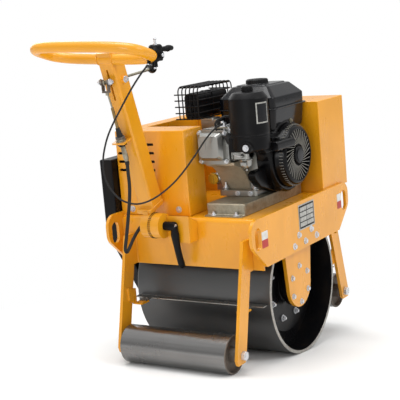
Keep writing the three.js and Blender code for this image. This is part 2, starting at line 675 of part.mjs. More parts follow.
// Closed hand loop: a rounded rectangle from above, pitched and rolled a little. It is two half loops
// whose ends reach just past each other.
function handLoop(radius = RIM_RADIUS) {
  const turn = new THREE.Euler(LOOP.roll, LOOP.pitch, 0, 'YXZ');
  const centre = new THREE.Vector3(PIVOT.x - LOOP.back, COLUMN_Y - LOOP.right, PIVOT.z + LOOP.up);
  const bulge = (value) => Math.sign(value) * Math.abs(value) ** LOOP_SQUARENESS;
  const pointAt = (angle) => {
    const along = bulge(Math.cos(angle)) * LOOP.halfDepth;
    const across = bulge(Math.sin(angle)) * LOOP.halfWidth;
    return new THREE.Vector3(along, across, 0).applyEuler(turn).add(centre).toArray();
  };
  const spans = 16;
  const overrun = 1e-4;
  const halfLoop = (start) => tube(Array.from({ length: spans + 1 }, (_, i) => {
    const beyond = i === 0 ? -overrun : (i === spans ? overrun : 0);
    return pointAt(start + (i / spans) * Math.PI + beyond);
  }), radius, { steps: 32 });
  return join(halfLoop(0), halfLoop(Math.PI));
}

const CLEVIS = { x: LEVER.x - 52, z: LEVER.z - 2, radius: 5 };

// Runs through the column's slots from the cable's clevis to a knob in front.
function travelLever() {
  const { x, z, boltRadius, thick } = LEVER;
  const eye = cut(
    rodY(11, COLUMN_Y - thick / 2, COLUMN_Y + thick / 2, x, z, 24),
    rodY(boltRadius + SEAT_GAP, COLUMN_Y - 5, COLUMN_Y + 5, x, z, 16),
  );
  const frontRod = tube([[x + 9, COLUMN_Y, z + 2], [x + 170, COLUMN_Y, z + 13]], 3, { sides: 8 });
  const rearArm = box(x - 61, x - 8, COLUMN_Y - thick / 2, COLUMN_Y + thick / 2, z - 10, z + 6);
  const knob = new THREE.SphereGeometry(14, 20, 14);
  knob.translate(x + 181, COLUMN_Y, z + 14);
  const boltRoom = rodY(CLEVIS.radius + SEAT_GAP, COLUMN_Y - 5, COLUMN_Y + 5, CLEVIS.x, CLEVIS.z, 16);
  return cut(join(eye, frontRod, rearArm, toSolid(knob)), boltRoom);
}

const BRACKET_UP = 224; // height of the cable bracket up the column
const SLEEVE_END = BRACKET_UP - 57;
const CABLE_BEHIND = 25; // cable axis behind the column's rear face

// Clevis, pull rod, rubber boot and threaded sleeve of the travel cable.
function controlRod() {
  const { x, z, radius } = CLEVIS;
  const y = COLUMN_Y;
  const behind = (up) => beside(CABLE_BEHIND, y, up);
  const bolt = rodY(radius, y - 17, y + 17, x, z, 6);
  const forks = [-9.5, 4].map((side) => box(x - 6, x + 6, y + side, y + side + 5.5, z - 30, z + 8));
  const bridge = box(x - 6, x + 6, y - 9.5, y + 9.5, z - 34, z - 28);
  const rod = tube([[x, y, z - 30], behind(BRACKET_UP + 43)], 3.5, { sides: 8 });
  const boot = tube([behind(BRACKET_UP + 44), behind(BRACKET_UP + 18)], 9);
  const nuts = tube([behind(BRACKET_UP + 19), behind(BRACKET_UP + 5 + SEAT_GAP)], 14, { sides: 6 });
  const sleeve = tube([behind(BRACKET_UP + 6), behind(SLEEVE_END)], 7);
  return join(bolt, ...forks, bridge, rod, boot, nuts, sleeve);
}

// Flat lug welded to the column's rear face. The sleeve passes through it.
function cableBracket() {
  const lug = alongColumn(box(-CABLE_BEHIND - 18, -SEAT_GAP, COLUMN_Y - 21, COLUMN_Y + 21,
    BRACKET_UP, BRACKET_UP + 5));
  const hole = tube([beside(CABLE_BEHIND, COLUMN_Y, BRACKET_UP + 8), beside(CABLE_BEHIND, COLUMN_Y,
    BRACKET_UP - 8)], 7 + SEAT_GAP);
  return cut(lug, hole);
}

// Thumb throttle clamped on the loop's right end.
function throttleLever() {
  const [x, y, z] = [PIVOT.x - 148, COLUMN_Y - 184, PIVOT.z + 500];
  const clamp = box(x - 20, x + 22, y - 16, y + 18, z - 16, z + 24);
  const thumb = tube([[x + 14, y - 8, z + 12], [x + 36, y - 14, z + 18], [x + 62, y - 14, z + 16]],
    6, { sides: 8, steps: 6 });
  const bolt = rodZ(6, 6, z + 23, z + 38, x + 4, y, 6);
  const outlet = tube([[x - 16, y - 6, z - 4], [x - 24, y + 7, z - 18.5]], 5, { sides: 8 });
  return cut(join(clamp, thumb, bolt, outlet), handLoop(RIM_RADIUS + SEAT_GAP));
}

// Routes of the two control cables, held at both ends.
const TRAVEL_ROUTE = [
  beside(CABLE_BEHIND, COLUMN_Y, SLEEVE_END - 1.5), [-374, 110, 618], [-371, 112, 578], [-373, 116, 535],
  [-380, 122, 483], [-388, 128, 432], [-394, 132, 398], [-385, 134, 386], [-370, 135, 394],
  [-342, 136, 418], [-312, 138, 436], [-284, 141, 446], [-262, 142, 449], [-DECK_HALF - 0.6, 142, 450],
];
const THROTTLE_ROUTE = [
  [-477.8, -66.8, 930.2], [-473, -40, 909], [-469, -8, 878], [-462, 25, 844], [-458, 55, 809], [-456, 88, 767],
  [-454, 112, 730], [-454, 128, 691], [-452, 136, 662], [-448, 140, 632], [-443, 136, 601],
  [-438, 121, 573], [-432, 98, 550], [-412, 70, 536], [-383, 48, 537], [-346, 28, 550], [-305, 8, 574],
  [-270, -10, 604], [-236, -32, 645], [-208, -60, 693], [-192, -84, 720], [-176, -104, 732],
];

const travelCable = () => tube(TRAVEL_ROUTE, TRAVEL_CABLE_RADIUS, { sides: 8, steps: 36 });
const throttleCable = () => tube(THROTTLE_ROUTE, THROTTLE_CABLE_RADIUS, { sides: 8, steps: 76 });

// ---------------------------------------------------------------- assembly

const pieces = [
  part('deck', deck(), YELLOW),
  part('side_plate_left', sidePlate(), YELLOW),
  part('side_plate_right', toRight(sidePlate()), YELLOW),
  part('hanger_left', hanger(), YELLOW),
  part('hanger_right', toRight(hanger()), YELLOW),
  part('bearing_flange_left', bearingFlange(), BLACK),
  part('bearing_flange_right', toRight(bearingFlange()), BLACK),
  part('arm_rear_left', arm(), YELLOW),
  part('arm_rear_right', toRight(arm()), YELLOW),
  part('arm_front_left', toFront(arm()), YELLOW),
  part('arm_front_right', toFront(toRight(arm())), YELLOW),
  part('axle_rear', axle(), ZINC),
  part('axle_front', toFront(axle()), ZINC),
  part('scraper_rear', scraper(), ZINC),
  part('scraper_front', toFront(scraper()), ZINC),
  part('rear_cover', rearCover(), YELLOW),
  part('side_cover', sideCover(), YELLOW),
  part('front_cover', frontCover(), YELLOW),
  part('belt_guard', beltGuard(), BLACK),
  part('engine_mount', engineMount(), ZINC),
  part('engine_block', engineBlock(), CAST),
  part('valve_cover', valveCover(), CAST),
  part('blower_housing', blowerHousing(), BLACK),
  part('recoil_starter', recoilStarter(), BLACK),
  part('fuel_tank', fuelTank(), BLACK),
  part('fuel_cap', fuelCap(), BLACK),
  part('muffler', muffler(), BLACK),
  part('muffler_guard', mufflerCage(), BLACK),
  part('air_cleaner', airCleaner(), BLACK),
  part('carburettor', carburettor(), CAST),
  part('handle_bracket', handleBracket(), YELLOW),
  part('clamp_lever', clampLever(), BLACK),
  part('drum_shell', drumShell(), DRUM_STEEL),
  part('drum_core', drumCore(), BLACK),
  part('rear_roller_tube', rollerTube(), DRUM_STEEL),
  part('rear_roller_core', rollerCore(), BLACK),
  part('front_roller_tube', toFront(rollerTube()), DRUM_STEEL),
  part('front_roller_core', toFront(rollerCore()), BLACK),
  part('handle_column', handleColumn(), YELLOW),
  part('handle_loop', handLoop(), YELLOW),
  part('travel_lever', travelLever(), ZINC),
  part('cable_bracket', cableBracket(), YELLOW),
  part('control_rod', controlRod(), ZINC),
  part('throttle_lever', throttleLever(), BLACK),
  part('travel_cable', travelCable(), BLACK),
  part('throttle_cable', throttleCable(), BLACK),
];

// The machine parks leaning back about its drum until the rear roller meets the ground.
const axleDrop = DRUM_RADIUS - ROLLER_AXLE_Z;
const axleDistance = Math.hypot(ROLLER_REACH, axleDrop);
const lean = Math.asin((DRUM_RADIUS - ROLLER_RADIUS) / axleDistance) - Math.atan2(axleDrop, ROLLER_REACH);

const level = new THREE.Group();
level.position.z = -DRUM_RADIUS;
level.add(...pieces);
const leaning = new THREE.Group();
leaning.rotation.y = -lean;
leaning.position.z = DRUM_RADIUS;
leaning.add(level);

// Origin: the middle of the footprint box, on the ground.
const roller = new THREE.Group();
roller.add(leaning);
roller.updateMatrixWorld(true);
const footprint = new THREE.Box3().setFromObject(roller, true);
roller.position.set(-(footprint.min.x + footprint.max.x) / 2, -(footprint.min.y + footprint.max.y) / 2, 0);

export default roller;
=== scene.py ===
"""Looks of a walk-behind road roller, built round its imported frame."""

import json
import logging
import math
from collections.abc import Iterable, Sequence
from dataclasses import dataclass, field
from enum import Enum

import bmesh
import bpy
from mathutils import Matrix, Vector

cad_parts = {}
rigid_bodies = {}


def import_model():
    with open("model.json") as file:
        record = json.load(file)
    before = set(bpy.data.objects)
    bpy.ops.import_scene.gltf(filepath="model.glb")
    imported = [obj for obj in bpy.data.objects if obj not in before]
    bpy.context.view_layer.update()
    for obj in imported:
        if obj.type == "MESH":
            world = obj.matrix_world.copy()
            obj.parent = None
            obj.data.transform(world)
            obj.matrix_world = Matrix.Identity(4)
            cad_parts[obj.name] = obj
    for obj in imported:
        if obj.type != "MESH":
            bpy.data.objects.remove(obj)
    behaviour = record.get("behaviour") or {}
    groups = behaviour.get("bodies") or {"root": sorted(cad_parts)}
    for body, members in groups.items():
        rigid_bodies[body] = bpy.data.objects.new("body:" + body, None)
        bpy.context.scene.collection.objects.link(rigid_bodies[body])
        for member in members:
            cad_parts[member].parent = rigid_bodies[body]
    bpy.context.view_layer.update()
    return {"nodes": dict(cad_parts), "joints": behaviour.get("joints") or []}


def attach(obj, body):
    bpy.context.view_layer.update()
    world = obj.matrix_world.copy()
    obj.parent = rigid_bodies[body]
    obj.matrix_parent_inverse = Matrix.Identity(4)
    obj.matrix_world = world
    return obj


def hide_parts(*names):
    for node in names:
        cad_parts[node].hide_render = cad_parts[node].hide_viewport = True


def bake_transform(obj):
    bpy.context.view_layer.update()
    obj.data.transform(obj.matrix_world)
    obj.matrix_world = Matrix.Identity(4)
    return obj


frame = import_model()

Point = tuple[float, float, float]
Colour = tuple[float, float, float]
Span = tuple[float, float]  # the two ends of a stretch
Flat = tuple[float, float]  # a point of an outline
log = logging.getLogger("roller")


class Body(str, Enum):
    """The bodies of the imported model."""

    FRAME = "frame"
    DRUM = "drum"
    REAR = "rear_roller"
    FRONT = "front_roller"
    HANDLE = "handle"


class Axis(Enum):
    """Directions of the level machine: X forward, Y to the operator's left, Z up."""

    X = 0
    Y = 1
    Z = 2

    def placed(self, first: float, second: float, along: float) -> Point:
        """A point from its place along this axis and its places in the two other directions."""
        if self is Axis.X:
            return (along, first, second)
        return (first, along, second) if self is Axis.Y else (first, second, along)


# ---------------------------------------------------------------- level machine


@dataclass
class Machine:
    """The level machine's frame, in millimetres: origin on the ground below the drum's axis."""

    drum_radius: float = 212.5
    deck_top: float = 464.0
    plate_outer: float = 252.0
    to_world: Matrix = field(init=False)

    def __post_init__(self) -> None:
        """Finds the level directions from the line through the two small rollers' axes."""
        place = {joint["name"]: Vector(joint["pos_m"]) for joint in frame["joints"]}
        forward = (place["front_roller_roll"] - place["rear_roller_roll"]).normalized()
        up = forward.cross(Vector((0, 1, 0))).normalized()
        if up.z < 0:
            up = -up
        side = up.cross(forward)
        turn = Matrix((forward, side, up)).transposed().to_4x4()
        axle = Matrix.Translation(place["drum_roll"])
        scale = Matrix.Scale(0.001, 4)
        self.to_world = axle @ turn @ scale @ Matrix.Translation((0, 0, -self.drum_radius))

    def point(self, x: float, y: float, z: float) -> Vector:
        """A level point in the shared frame, in metres."""
        return self.to_world @ Vector((x, y, z))

    def direction(self, vector: Vector) -> Vector:
        """A level direction in the shared frame."""
        return (self.to_world.to_3x3() @ vector).normalized()


MACHINE = Machine()


# ---------------------------------------------------------------- shapes


def arc(centre: Flat, radius: float, start: float, end: float, steps: int = 8) -> list[Flat]:
    """Points on an arc, from start to end in degrees.

    Args:
        centre: middle of the arc.
        radius: its radius.
        start: first angle.
        end: last angle.
        steps: how many straight pieces it has.

    Returns:
        The points, both ends included.
    """
    angles = [math.radians(start + (end - start) * i / steps) for i in range(steps + 1)]
    return [(centre[0] + radius * math.cos(a), centre[1] + radius * math.sin(a)) for a in angles]


def rounded(x: Span, y: Span, radius: float, steps: int = 5) -> list[Flat]:
    """Outline of a rectangle with round corners."""
    corners = [
        ((x[1] - radius, y[0] + radius), -90),
        ((x[1] - radius, y[1] - radius), 0),
        ((x[0] + radius, y[1] - radius), 90),
        ((x[0] + radius, y[0] + radius), 180),
    ]
    return [p for centre, start in corners for p in arc(centre, radius, start, start + 90, steps)]


def around(centre: Point, radius: float, axis: Axis, degrees: Iterable[float]) -> list[Point]:
    """Points round an axis.

    Args:
        centre: the point that they lie round.
        radius: how far they lie from it.
        axis: the axis that they lie round.
        degrees: the angle of each point.

    Returns:
        The points.
    """
    points = []
    for angle in map(math.radians, degrees):
        spoke = axis.placed(radius * math.cos(angle), radius * math.sin(angle), 0)
        points.append(tuple(c + step for c, step in zip(centre, spoke)))
    return points


def turns(count: int, start: float = 0.0) -> list[float]:
    """Equal steps round a full turn, in degrees."""
    return [start + 360 * i / count for i in range(count)]


def smooth_path(points: Sequence[Sequence[float]], steps: int = 8) -> list[Vector]:
    """A smooth curve through chosen points.

    Args:
        points: the points, in order.
        steps: how many pieces lie between two of them.

    Returns:
        The curve's points.
    """
    given = [Vector(p) for p in points]
    guide = [given[0] * 2 - given[1], *given, given[-1] * 2 - given[-2]]
    path = []
    for a, b, c, d in zip(guide, guide[1:], guide[2:], guide[3:]):
        for i in range(steps):
            t = i / steps
            path.append(0.5 * (2 * b + (c - a) * t + (2 * a - 5 * b + 4 * c - d) * t * t
                               + (3 * b - a - 3 * c + d) * t * t * t))
    return [*path, given[-1]]


def evenly(line: Sequence[Vector], count: int) -> list[Vector]:
    """Points spread evenly along a closed line."""
    ring = [*line, line[0]]
    lengths = [(b - a).length for a, b in zip(ring, ring[1:])]
    step = sum(lengths) / count
    points, walked, index = [], 0.0, 0
    for i in range(count):
        while walked + lengths[index] < i * step - 1e-9:
            walked += lengths[index]
            index += 1
        share = (i * step - walked) / lengths[index]
        points.append(ring[index].lerp(ring[index + 1], share))
    return points


def spread(values: Sequence[float], steps: int) -> list[float]:
    """Values between chosen ones, for a path from smooth_path with as many steps."""
    between = [a + (b - a) * i / steps for a, b in zip(values, values[1:]) for i in range(steps)]
    return [*between, values[-1]]


class Shape:
    """Vertices and faces in the level frame, in millimetres, with a finish number on each face."""

    def __init__(self) -> None:
        """Starts empty."""
        self.verts: list[Vector] = []
        self.faces: list[list[int]] = []
        self.marks: list[int] = []
        self.edges: list[tuple[int, int]] = []

    def add(self, verts: Iterable[Sequence[float]], faces: Iterable[Sequence[int]],
            mark: int = 0) -> "Shape":
        """Adds faces on new vertices."""
        base = len(self.verts)
        self.verts += [Vector(v) for v in verts]
        for face in faces:
            self.faces.append([base + i for i in face])
            self.marks.append(mark)
        return self

    def box(self, x: Span, y: Span, z: Span, mark: int = 0) -> "Shape":
        """Adds a block."""
        corners = [(a, b, c) for c in z for b in y for a in x]
        sides = [(0, 1, 3, 2), (4, 6, 7, 5), (0, 4, 5, 1), (2, 3, 7, 6), (0, 2, 6, 4), (1, 5, 7, 3)]
        return self.add(corners, sides, mark)

    def prism(self, outline: Sequence[Flat], axis: Axis, span: Span, mark: int = 0) -> "Shape":
        """Adds an outline in the two other directions, drawn out along an axis."""
        return self.loft([(outline, at) for at in span], axis, mark)

    def loft(self, rings: Sequence[tuple[Sequence[Flat], float]], axis: Axis,
             mark: int = 0) -> "Shape":
        """Adds a skin through outlines with equally many points.

        Args:
            rings: each outline in the two other directions, and its place along the axis.
            axis: the direction in which the outlines follow one another.
            mark: finish number.

        Returns:
            The shape itself.
        """
        verts = [axis.placed(u, v, at) for outline, at in rings for u, v in outline]
        count = len(rings[0][0])
        faces: list[list[int]] = []
        for ring in range(len(rings) - 1):
            a, b = ring * count, (ring + 1) * count
            faces += [[a + i, a + (i + 1) % count, b + (i + 1) % count, b + i] for i in range(count)]
        faces.append(list(reversed(range(count))))
        faces.append([(len(rings) - 1) * count + i for i in range(count)])
        return self.add(verts, faces, mark)

    def lathe(self, profile: Sequence[Flat], centre: Point, axis: Axis = Axis.Y,
              segments: int = 48, mark: int = 0, shares: Sequence[int] | None = None) -> "Shape":
        """Adds a turned shape.

        Args:
            profile: points of radius and place along the axis; it ends on the axis or on its start.
            centre: the point that the profile's places count from.
            axis: the axis that it is turned about.
            segments: how many flats a turn has.
            mark: finish number.
            shares: finish numbers for the strips between points, where they differ.

        Returns:
            The shape itself.
        """
        closed = profile[0] == profile[-1]
        points = list(profile[:-1]) if closed else list(profile)
        rings: list[list[int]] = []
        for radius, along in points:
            flats = 1 if radius < 1e-6 else segments
            first = len(self.verts)
            rings.append(list(range(first, first + flats)))
            middle = Vector(centre) + Vector(axis.placed(0, 0, along))
            self.verts += [Vector(p) for p in around(middle, radius, axis, turns(segments)[:flats])]
        pairs = zip(rings, rings[1:] + rings[:1] if closed else rings[1:])
        for strip, (a, b) in enumerate(pairs):
            for i in range(segments):
                j = (i + 1) % segments
                corners = [a[i % len(a)], a[j % len(a)], b[j % len(b)], b[i % len(b)]]
                face = list(dict.fromkeys(corners))
                if len(face) > 2:
                    self.faces.append(face)
                    self.marks.append(mark if shares is None else shares[strip])
        return self

    def tube(self, path: Sequence[Sequence[float]], radius: float | Sequence[float],
             sides: int = 16, closed: bool = False, mark: int = 0) -> "Shape":
        """Adds a round tube along a path, with flat ends."""
        points = [Vector(p) for p in path]
        count = len(points)
        radii = [radius] * count if isinstance(radius, (int, float)) else list(radius)
        tangents = []
        for i in range(count):
            before = points[i - 1] if i or closed else points[0]
            after = points[(i + 1) % count] if i < count - 1 or closed else points[-1]
            tangents.append((after - before).normalized())
        normal = tangents[0].orthogonal().normalized()
        verts = []
        for i, tangent in enumerate(tangents):
            normal = (normal - tangent * normal.dot(tangent)).normalized()
            across = tangent.cross(normal)
            for k in range(sides):
                angle = 2 * math.pi * k / sides
                spoke = normal * math.cos(angle) + across * math.sin(angle)
                verts.append(points[i] + spoke * radii[i])
        faces: list[list[int]] = []
        for i in range(count if closed else count - 1):
            a, b = i * sides, (i + 1) % count * sides
            faces += [[a + k, a + (k + 1) % sides, b + (k + 1) % sides, b + k] for k in range(sides)]
        if not closed:
            faces.append(list(reversed(range(sides))))
            faces.append([(count - 1) * sides + k for k in range(sides)])
        return self.add(verts, faces, mark)

    def rod(self, start: Sequence[float], end: Sequence[float], radius: float,
            far_radius: float | None = None, sides: int = 20, mark: int = 0) -> "Shape":
        """Adds a straight rod or cone between two points."""
        radii = [radius, radius if far_radius is None else far_radius]
        return self.tube([start, end], radii, sides, mark=mark)

    def line(self, points: Sequence[Sequence[float]], closed: bool = False) -> "Shape":
        """Adds a bare line for a tree that gives it a section."""
        base = len(self.verts)
        self.verts += [Vector(p) for p in points]
        count = len(points)
        self.edges += [(base + i, base + (i + 1) % count) for i in range(count if closed else count - 1)]
        return self

    def dots(self, points: Iterable[Sequence[float]]) -> "Shape":
        """Adds bare points for a tree that sets something on them."""
        self.verts += [Vector(p) for p in points]
        return self

    def moved(self, matrix: Matrix) -> "Shape":
        """Moves everything so far."""
        self.verts = [matrix @ v for v in self.verts]
        return self

    def to_object(self, name: str) -> bpy.types.Object:
        """Makes a Blender object, with its faces pointing outwards."""
        mesh = bpy.data.meshes.new(name)
        mesh.from_pydata(self.verts, self.edges, self.faces)
        for _ in range(max(self.marks, default=0) + 1):
            mesh.materials.append(None)
        for polygon, mark in zip(mesh.polygons, self.marks):
            polygon.material_index = mark
        if self.faces:
            face_outwards(mesh)
        return link(name, mesh)


def face_outwards(mesh: bpy.types.Mesh) -> None:
    """Turns every face of closed shapes outwards."""
    work = bmesh.new()
    work.from_mesh(mesh)
    bmesh.ops.recalc_face_normals(work, faces=work.faces)
    work.to_mesh(mesh)
    work.free()


def link(name: str, mesh: bpy.types.Mesh) -> bpy.types.Object:
    """Puts a mesh in the scene under a name."""
    made = bpy.data.objects.new(name, mesh)
    bpy.context.scene.collection.objects.link(made)
    return made


def settle(made: bpy.types.Object) -> bpy.types.Object:
    """Turns what the modifiers show into the object's own mesh and removes them."""
    bpy.context.view_layer.update()
    graph = bpy.context.evaluated_depsgraph_get()
    result = bpy.data.meshes.new_from_object(made.evaluated_get(graph), depsgraph=graph)
    made.modifiers.clear()
    made.data = result
    return made


def bevelled(made: bpy.types.Object, width: float, segments: int = 2,
             angle: float = 32.0) -> bpy.types.Object:
    """Rounds the edges sharper than an angle."""
    bevel = made.modifiers.new("edge", "BEVEL")
    bevel.width = width
    bevel.segments = segments
    bevel.limit_method = "ANGLE"
    bevel.angle_limit = math.radians(angle)
    bevel.miter_outer = "MITER_ARC"
    bevel.use_clamp_overlap = True
    return settle(made)


def carved(made: bpy.types.Object, cutter: Shape) -> bpy.types.Object:
    """Cuts a shape out of an object."""
    tool = cutter.to_object("cutter")
    cut = made.modifiers.new("cut", "BOOLEAN")
    cut.operation = "DIFFERENCE"
    cut.solver = "EXACT"
    cut.object = tool
    settle(made)
    bpy.data.objects.remove(tool)
    return made


def cad_copy(node: str) -> bpy.types.Object:
    """A merged copy of a CAD node in level millimetres, flat faces joined up."""
    mesh = frame["nodes"][node].data.copy()
    mesh.transform(MACHINE.to_world.inverted())
    work = bmesh.new()
    work.from_mesh(mesh)
    bmesh.ops.remove_doubles(work, verts=work.verts, dist=0.01)
    bmesh.ops.dissolve_limit(work, angle_limit=math.radians(1.5), verts=work.verts, edges=work.edges)
    work.to_mesh(mesh)
    work.free()
    for polygon in mesh.polygons:
        polygon.material_index = 0
    return link(node + "_skin", mesh)


def finish_piece(name: str, source: Shape | bpy.types.Object, body: Body, *finishes: "Finish",
                 stands_for: str | None = None, slot: str | None = None, bevel: float = 0.0,
                 segments: int = 2, smooth: float = 35.0) -> bpy.types.Object:
    """Turns a shape or an object in level millimetres into a finished piece of the shared frame.

    Args:
        name: the piece's name.
        source: what it is made from.
        body: the body that it rides on.
        finishes: one for each finish number.
        stands_for: the CAD node that it replaces.
        slot: the record's material slot; not used.
        bevel: width of its rounded edges.
        segments: how many steps they have.
        smooth: edges sharper than this angle stay sharp.

    Returns:
        The piece.
    """
    made = source.to_object(name) if isinstance(source, Shape) else source
    made.name = name
    if bevel:
        bevelled(made, bevel, segments)
    marks = [polygon.material_index for polygon in made.data.polygons]
    made.data.transform(MACHINE.to_world)
    made.data.materials.clear()
    for finish in finishes:
        made.data.materials.append(finish.built)
    for polygon, mark in zip(made.data.polygons, marks):
        polygon.material_index = min(mark, len(finishes) - 1)
    made.data.shade_smooth()
    made.data.set_sharp_from_angle(angle=math.radians(smooth))
    flat = made.modifiers.new("flat_faces", "WEIGHTED_NORMAL")
    flat.keep_sharp = True
    flat.weight = 90
    settle(made)
    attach(made, body.value)
    if stands_for:
        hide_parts(stands_for)
    log.info("%s: %d faces on %s", name, len(made.data.polygons), body.value)
    return made


def finish_node(node: str, suffix: str, finish: "Finish", slot: str, bevel: float,
                segments: int = 2, body: Body = Body.FRAME) -> bpy.types.Object:
    """Finishes a CAD node's own shape, with its edges eased."""
    return finish_piece(f"{node}_{suffix}", cad_copy(node), body, finish, stands_for=node,
                        slot=slot, bevel=bevel, segments=segments)


# ---------------------------------------------------------------- finishes


class Tree:
    """A node tree that is wired step by step."""

    def __init__(self, tree: bpy.types.NodeTree) -> None:
        """Takes a material's, a world's or a geometry tree."""
        self.tree = tree

    def node(self, kind: str, inputs: dict[str | int, object] | None = None,
             **settings: object) -> bpy.types.Node:
        """Adds a node.

        Args:
            kind: its type.
            inputs: what goes into its sockets, each a socket to link or a plain value.
            settings: its properties.

        Returns:
            The node.
        """
        made = self.tree.nodes.new(kind)
        for key, value in settings.items():
            setattr(made, key, value)
        for key, value in (inputs or {}).items():
            self.feed(made.inputs[key], value)
        return made

    def feed(self, target: bpy.types.NodeSocket, value: object) -> None:
        """Links a socket to an input, or sets the input to a plain value."""
        if isinstance(value, bpy.types.NodeSocket):
            self.tree.links.new(value, target)
        else:
            target.default_value = value

    def math(self, operation: str, first: object, second: object) -> bpy.types.NodeSocket:
        """Works two values, each a socket or a number, into one."""
        return self.node("ShaderNodeMath", {0: first, 1: second}, operation=operation).outputs["Value"]

    def level(self, value: bpy.types.NodeSocket, source: Span, target: Span) -> bpy.types.NodeSocket:
        """A value moved from one range to another and kept inside it."""
        ends = {"From Min": source[0], "From Max": source[1], "To Min": target[0], "To Max": target[1]}
        return self.node("ShaderNodeMapRange", {"Value": value, **ends}).outputs["Result"]


class Nodes(Tree):
    """A new material's tree, with its shader and object coordinates."""

    def __init__(self, name: str) -> None:
        """Starts the material."""
        self.material = bpy.data.materials.new(name)
        self.material.use_nodes = True
        super().__init__(self.material.node_tree)
        self.shader = self.tree.nodes["Principled BSDF"]
        self.place = self.node("ShaderNodeTexCoord").outputs["Object"]

    def noise(self, scale: float, stretch: Point = (1, 1, 1), detail: float = 4.0
              ) -> bpy.types.NodeSocket:
        """Noise in object space, about 1/scale metres across.

        Args:
            scale: how fine it is.
            stretch: a factor on it in each direction.
            detail: how many octaves it has.

        Returns:
            The noise's value.
        """
        mapping = self.node("ShaderNodeMapping", {"Vector": self.place, "Scale": stretch})
        noise = self.node("ShaderNodeTexNoise",
                          {"Vector": mapping.outputs["Vector"], "Scale": scale, "Detail": detail})
        return noise.outputs["Fac"]

    def ramp(self, value: bpy.types.NodeSocket, stops: Sequence[tuple[float, Sequence[float]]]
             ) -> bpy.types.NodeSocket:
        """Colours along a value."""
        ramp = self.node("ShaderNodeValToRGB", {"Fac": value})
        band = ramp.color_ramp.elements
        while len(band) < len(stops):
            band.new(0.5)
        for element, (at, colour) in zip(band, stops):
            element.position = at
            element.color = (*colour[:3], 1.0)
        return ramp.outputs["Color"]

    def blend(self, share: bpy.types.NodeSocket, low: object, high: object) -> bpy.types.NodeSocket:
        """Mixes two colours, each a socket or three numbers."""
        mix = self.node("ShaderNodeMix", {"Factor": share}, data_type="RGBA")
        for index, colour in ((6, low), (7, high)):
            plain = not isinstance(colour, bpy.types.NodeSocket)
            self.feed(mix.inputs[index], (*colour, 1.0) if plain else colour)
        return mix.outputs[2]

    def edges(self, radius: float) -> bpy.types.NodeSocket:
        """High along convex edges."""
        bevel = self.node("ShaderNodeBevel", {"Radius": radius}, samples=4)
        normal = self.node("ShaderNodeNewGeometry").outputs["Normal"]
        dot = self.node("ShaderNodeVectorMath", {0: bevel.outputs["Normal"], 1: normal},
                        operation="DOT_PRODUCT")
        return self.level(dot.outputs["Value"], (0.995, 0.9), (0.0, 1.0))

    def bump(self, value: bpy.types.NodeSocket, distance: float, strength: float = 1.0) -> None:
        """Raises the surface by a value, over what is there already."""
        bump = self.node("ShaderNodeBump", {"Distance": distance, "Strength": strength, "Height": value})
        normal = self.shader.inputs["Normal"]
        if normal.is_linked:
            self.feed(bump.inputs["Normal"], normal.links[0].from_socket)
        self.feed(normal, bump.outputs["Normal"])

    def colour(self, socket: bpy.types.NodeSocket) -> None:
        """Sets the base colour."""
        self.feed(self.shader.inputs["Base Color"], socket)

    def rough(self, value: bpy.types.NodeSocket, span: Span, source: Span = (0.3, 0.7)) -> None:
        """Lets the roughness follow a value."""
        self.feed(self.shader.inputs["Roughness"], self.level(value, source, span))

    def fixed(self, **numbers: float) -> None:
        """Sets the shader's own numbers; a name's underscores stand for spaces."""
        for name, value in numbers.items():
            self.shader.inputs[name.replace("_", " ")].default_value = value


def linear(code: int) -> Colour:
    """A screen colour such as 0xd99a2b as linear numbers."""
    parts = [((code >> shift) & 255) / 255 for shift in (16, 8, 0)]
    red, green, blue = [p / 12.92 if p <= 0.04045 else ((p + 0.055) / 1.055) ** 2.4 for p in parts]
    return (red, green, blue)


def shade(colour: Colour, factor: float) -> Colour:
    """A colour made darker or lighter."""
    red, green, blue = [min(1.0, part * factor) for part in colour]
    return (red, green, blue)


@dataclass(frozen=True)
class Enamel:
    """Glossy paint on steel: slow changes of tone, dust in patches, worn edges."""

    name: str
    tone: int
    worn: int = 0x6b5a45
    roughness: Span = (0.24, 0.4)
    wear: float = 0.35
    dust: float = 0.25
    coat: float = 0.35
    gleam: float = 0.5

    def material(self) -> bpy.types.Material:
        """Builds the material."""
        nodes = Nodes(self.name)
        base = linear(self.tone)
        cloud = nodes.noise(4.5, detail=6)
        paint = nodes.ramp(cloud, [(0.3, shade(base, 0.9)), (0.52, base), (0.72, shade(base, 1.08))])
        grime = nodes.noise(23, stretch=(1, 1, 0.35), detail=8)
        film = nodes.level(grime, (0.52, 0.72), (0.0, self.dust))
        dusty = nodes.blend(film, paint, shade(linear(0x9c7b4e), 0.9))
        chips = nodes.level(nodes.noise(160, detail=6), (0.5, 0.62), (0.0, 1.0))
        chipped = nodes.math("MULTIPLY", nodes.edges(0.0022), chips)
        rub = nodes.level(chipped, (0.25, 0.8), (0.0, self.wear))
        nodes.colour(nodes.blend(rub, dusty, linear(self.worn)))
        nodes.rough(grime, self.roughness)
        nodes.bump(nodes.noise(380, detail=2), 0.00003)
        nodes.bump(nodes.noise(11, detail=2), 0.0004, 0.25)
        nodes.fixed(Coat_Weight=self.coat, Coat_Roughness=0.1, Specular_IOR_Level=self.gleam)
        return nodes.material


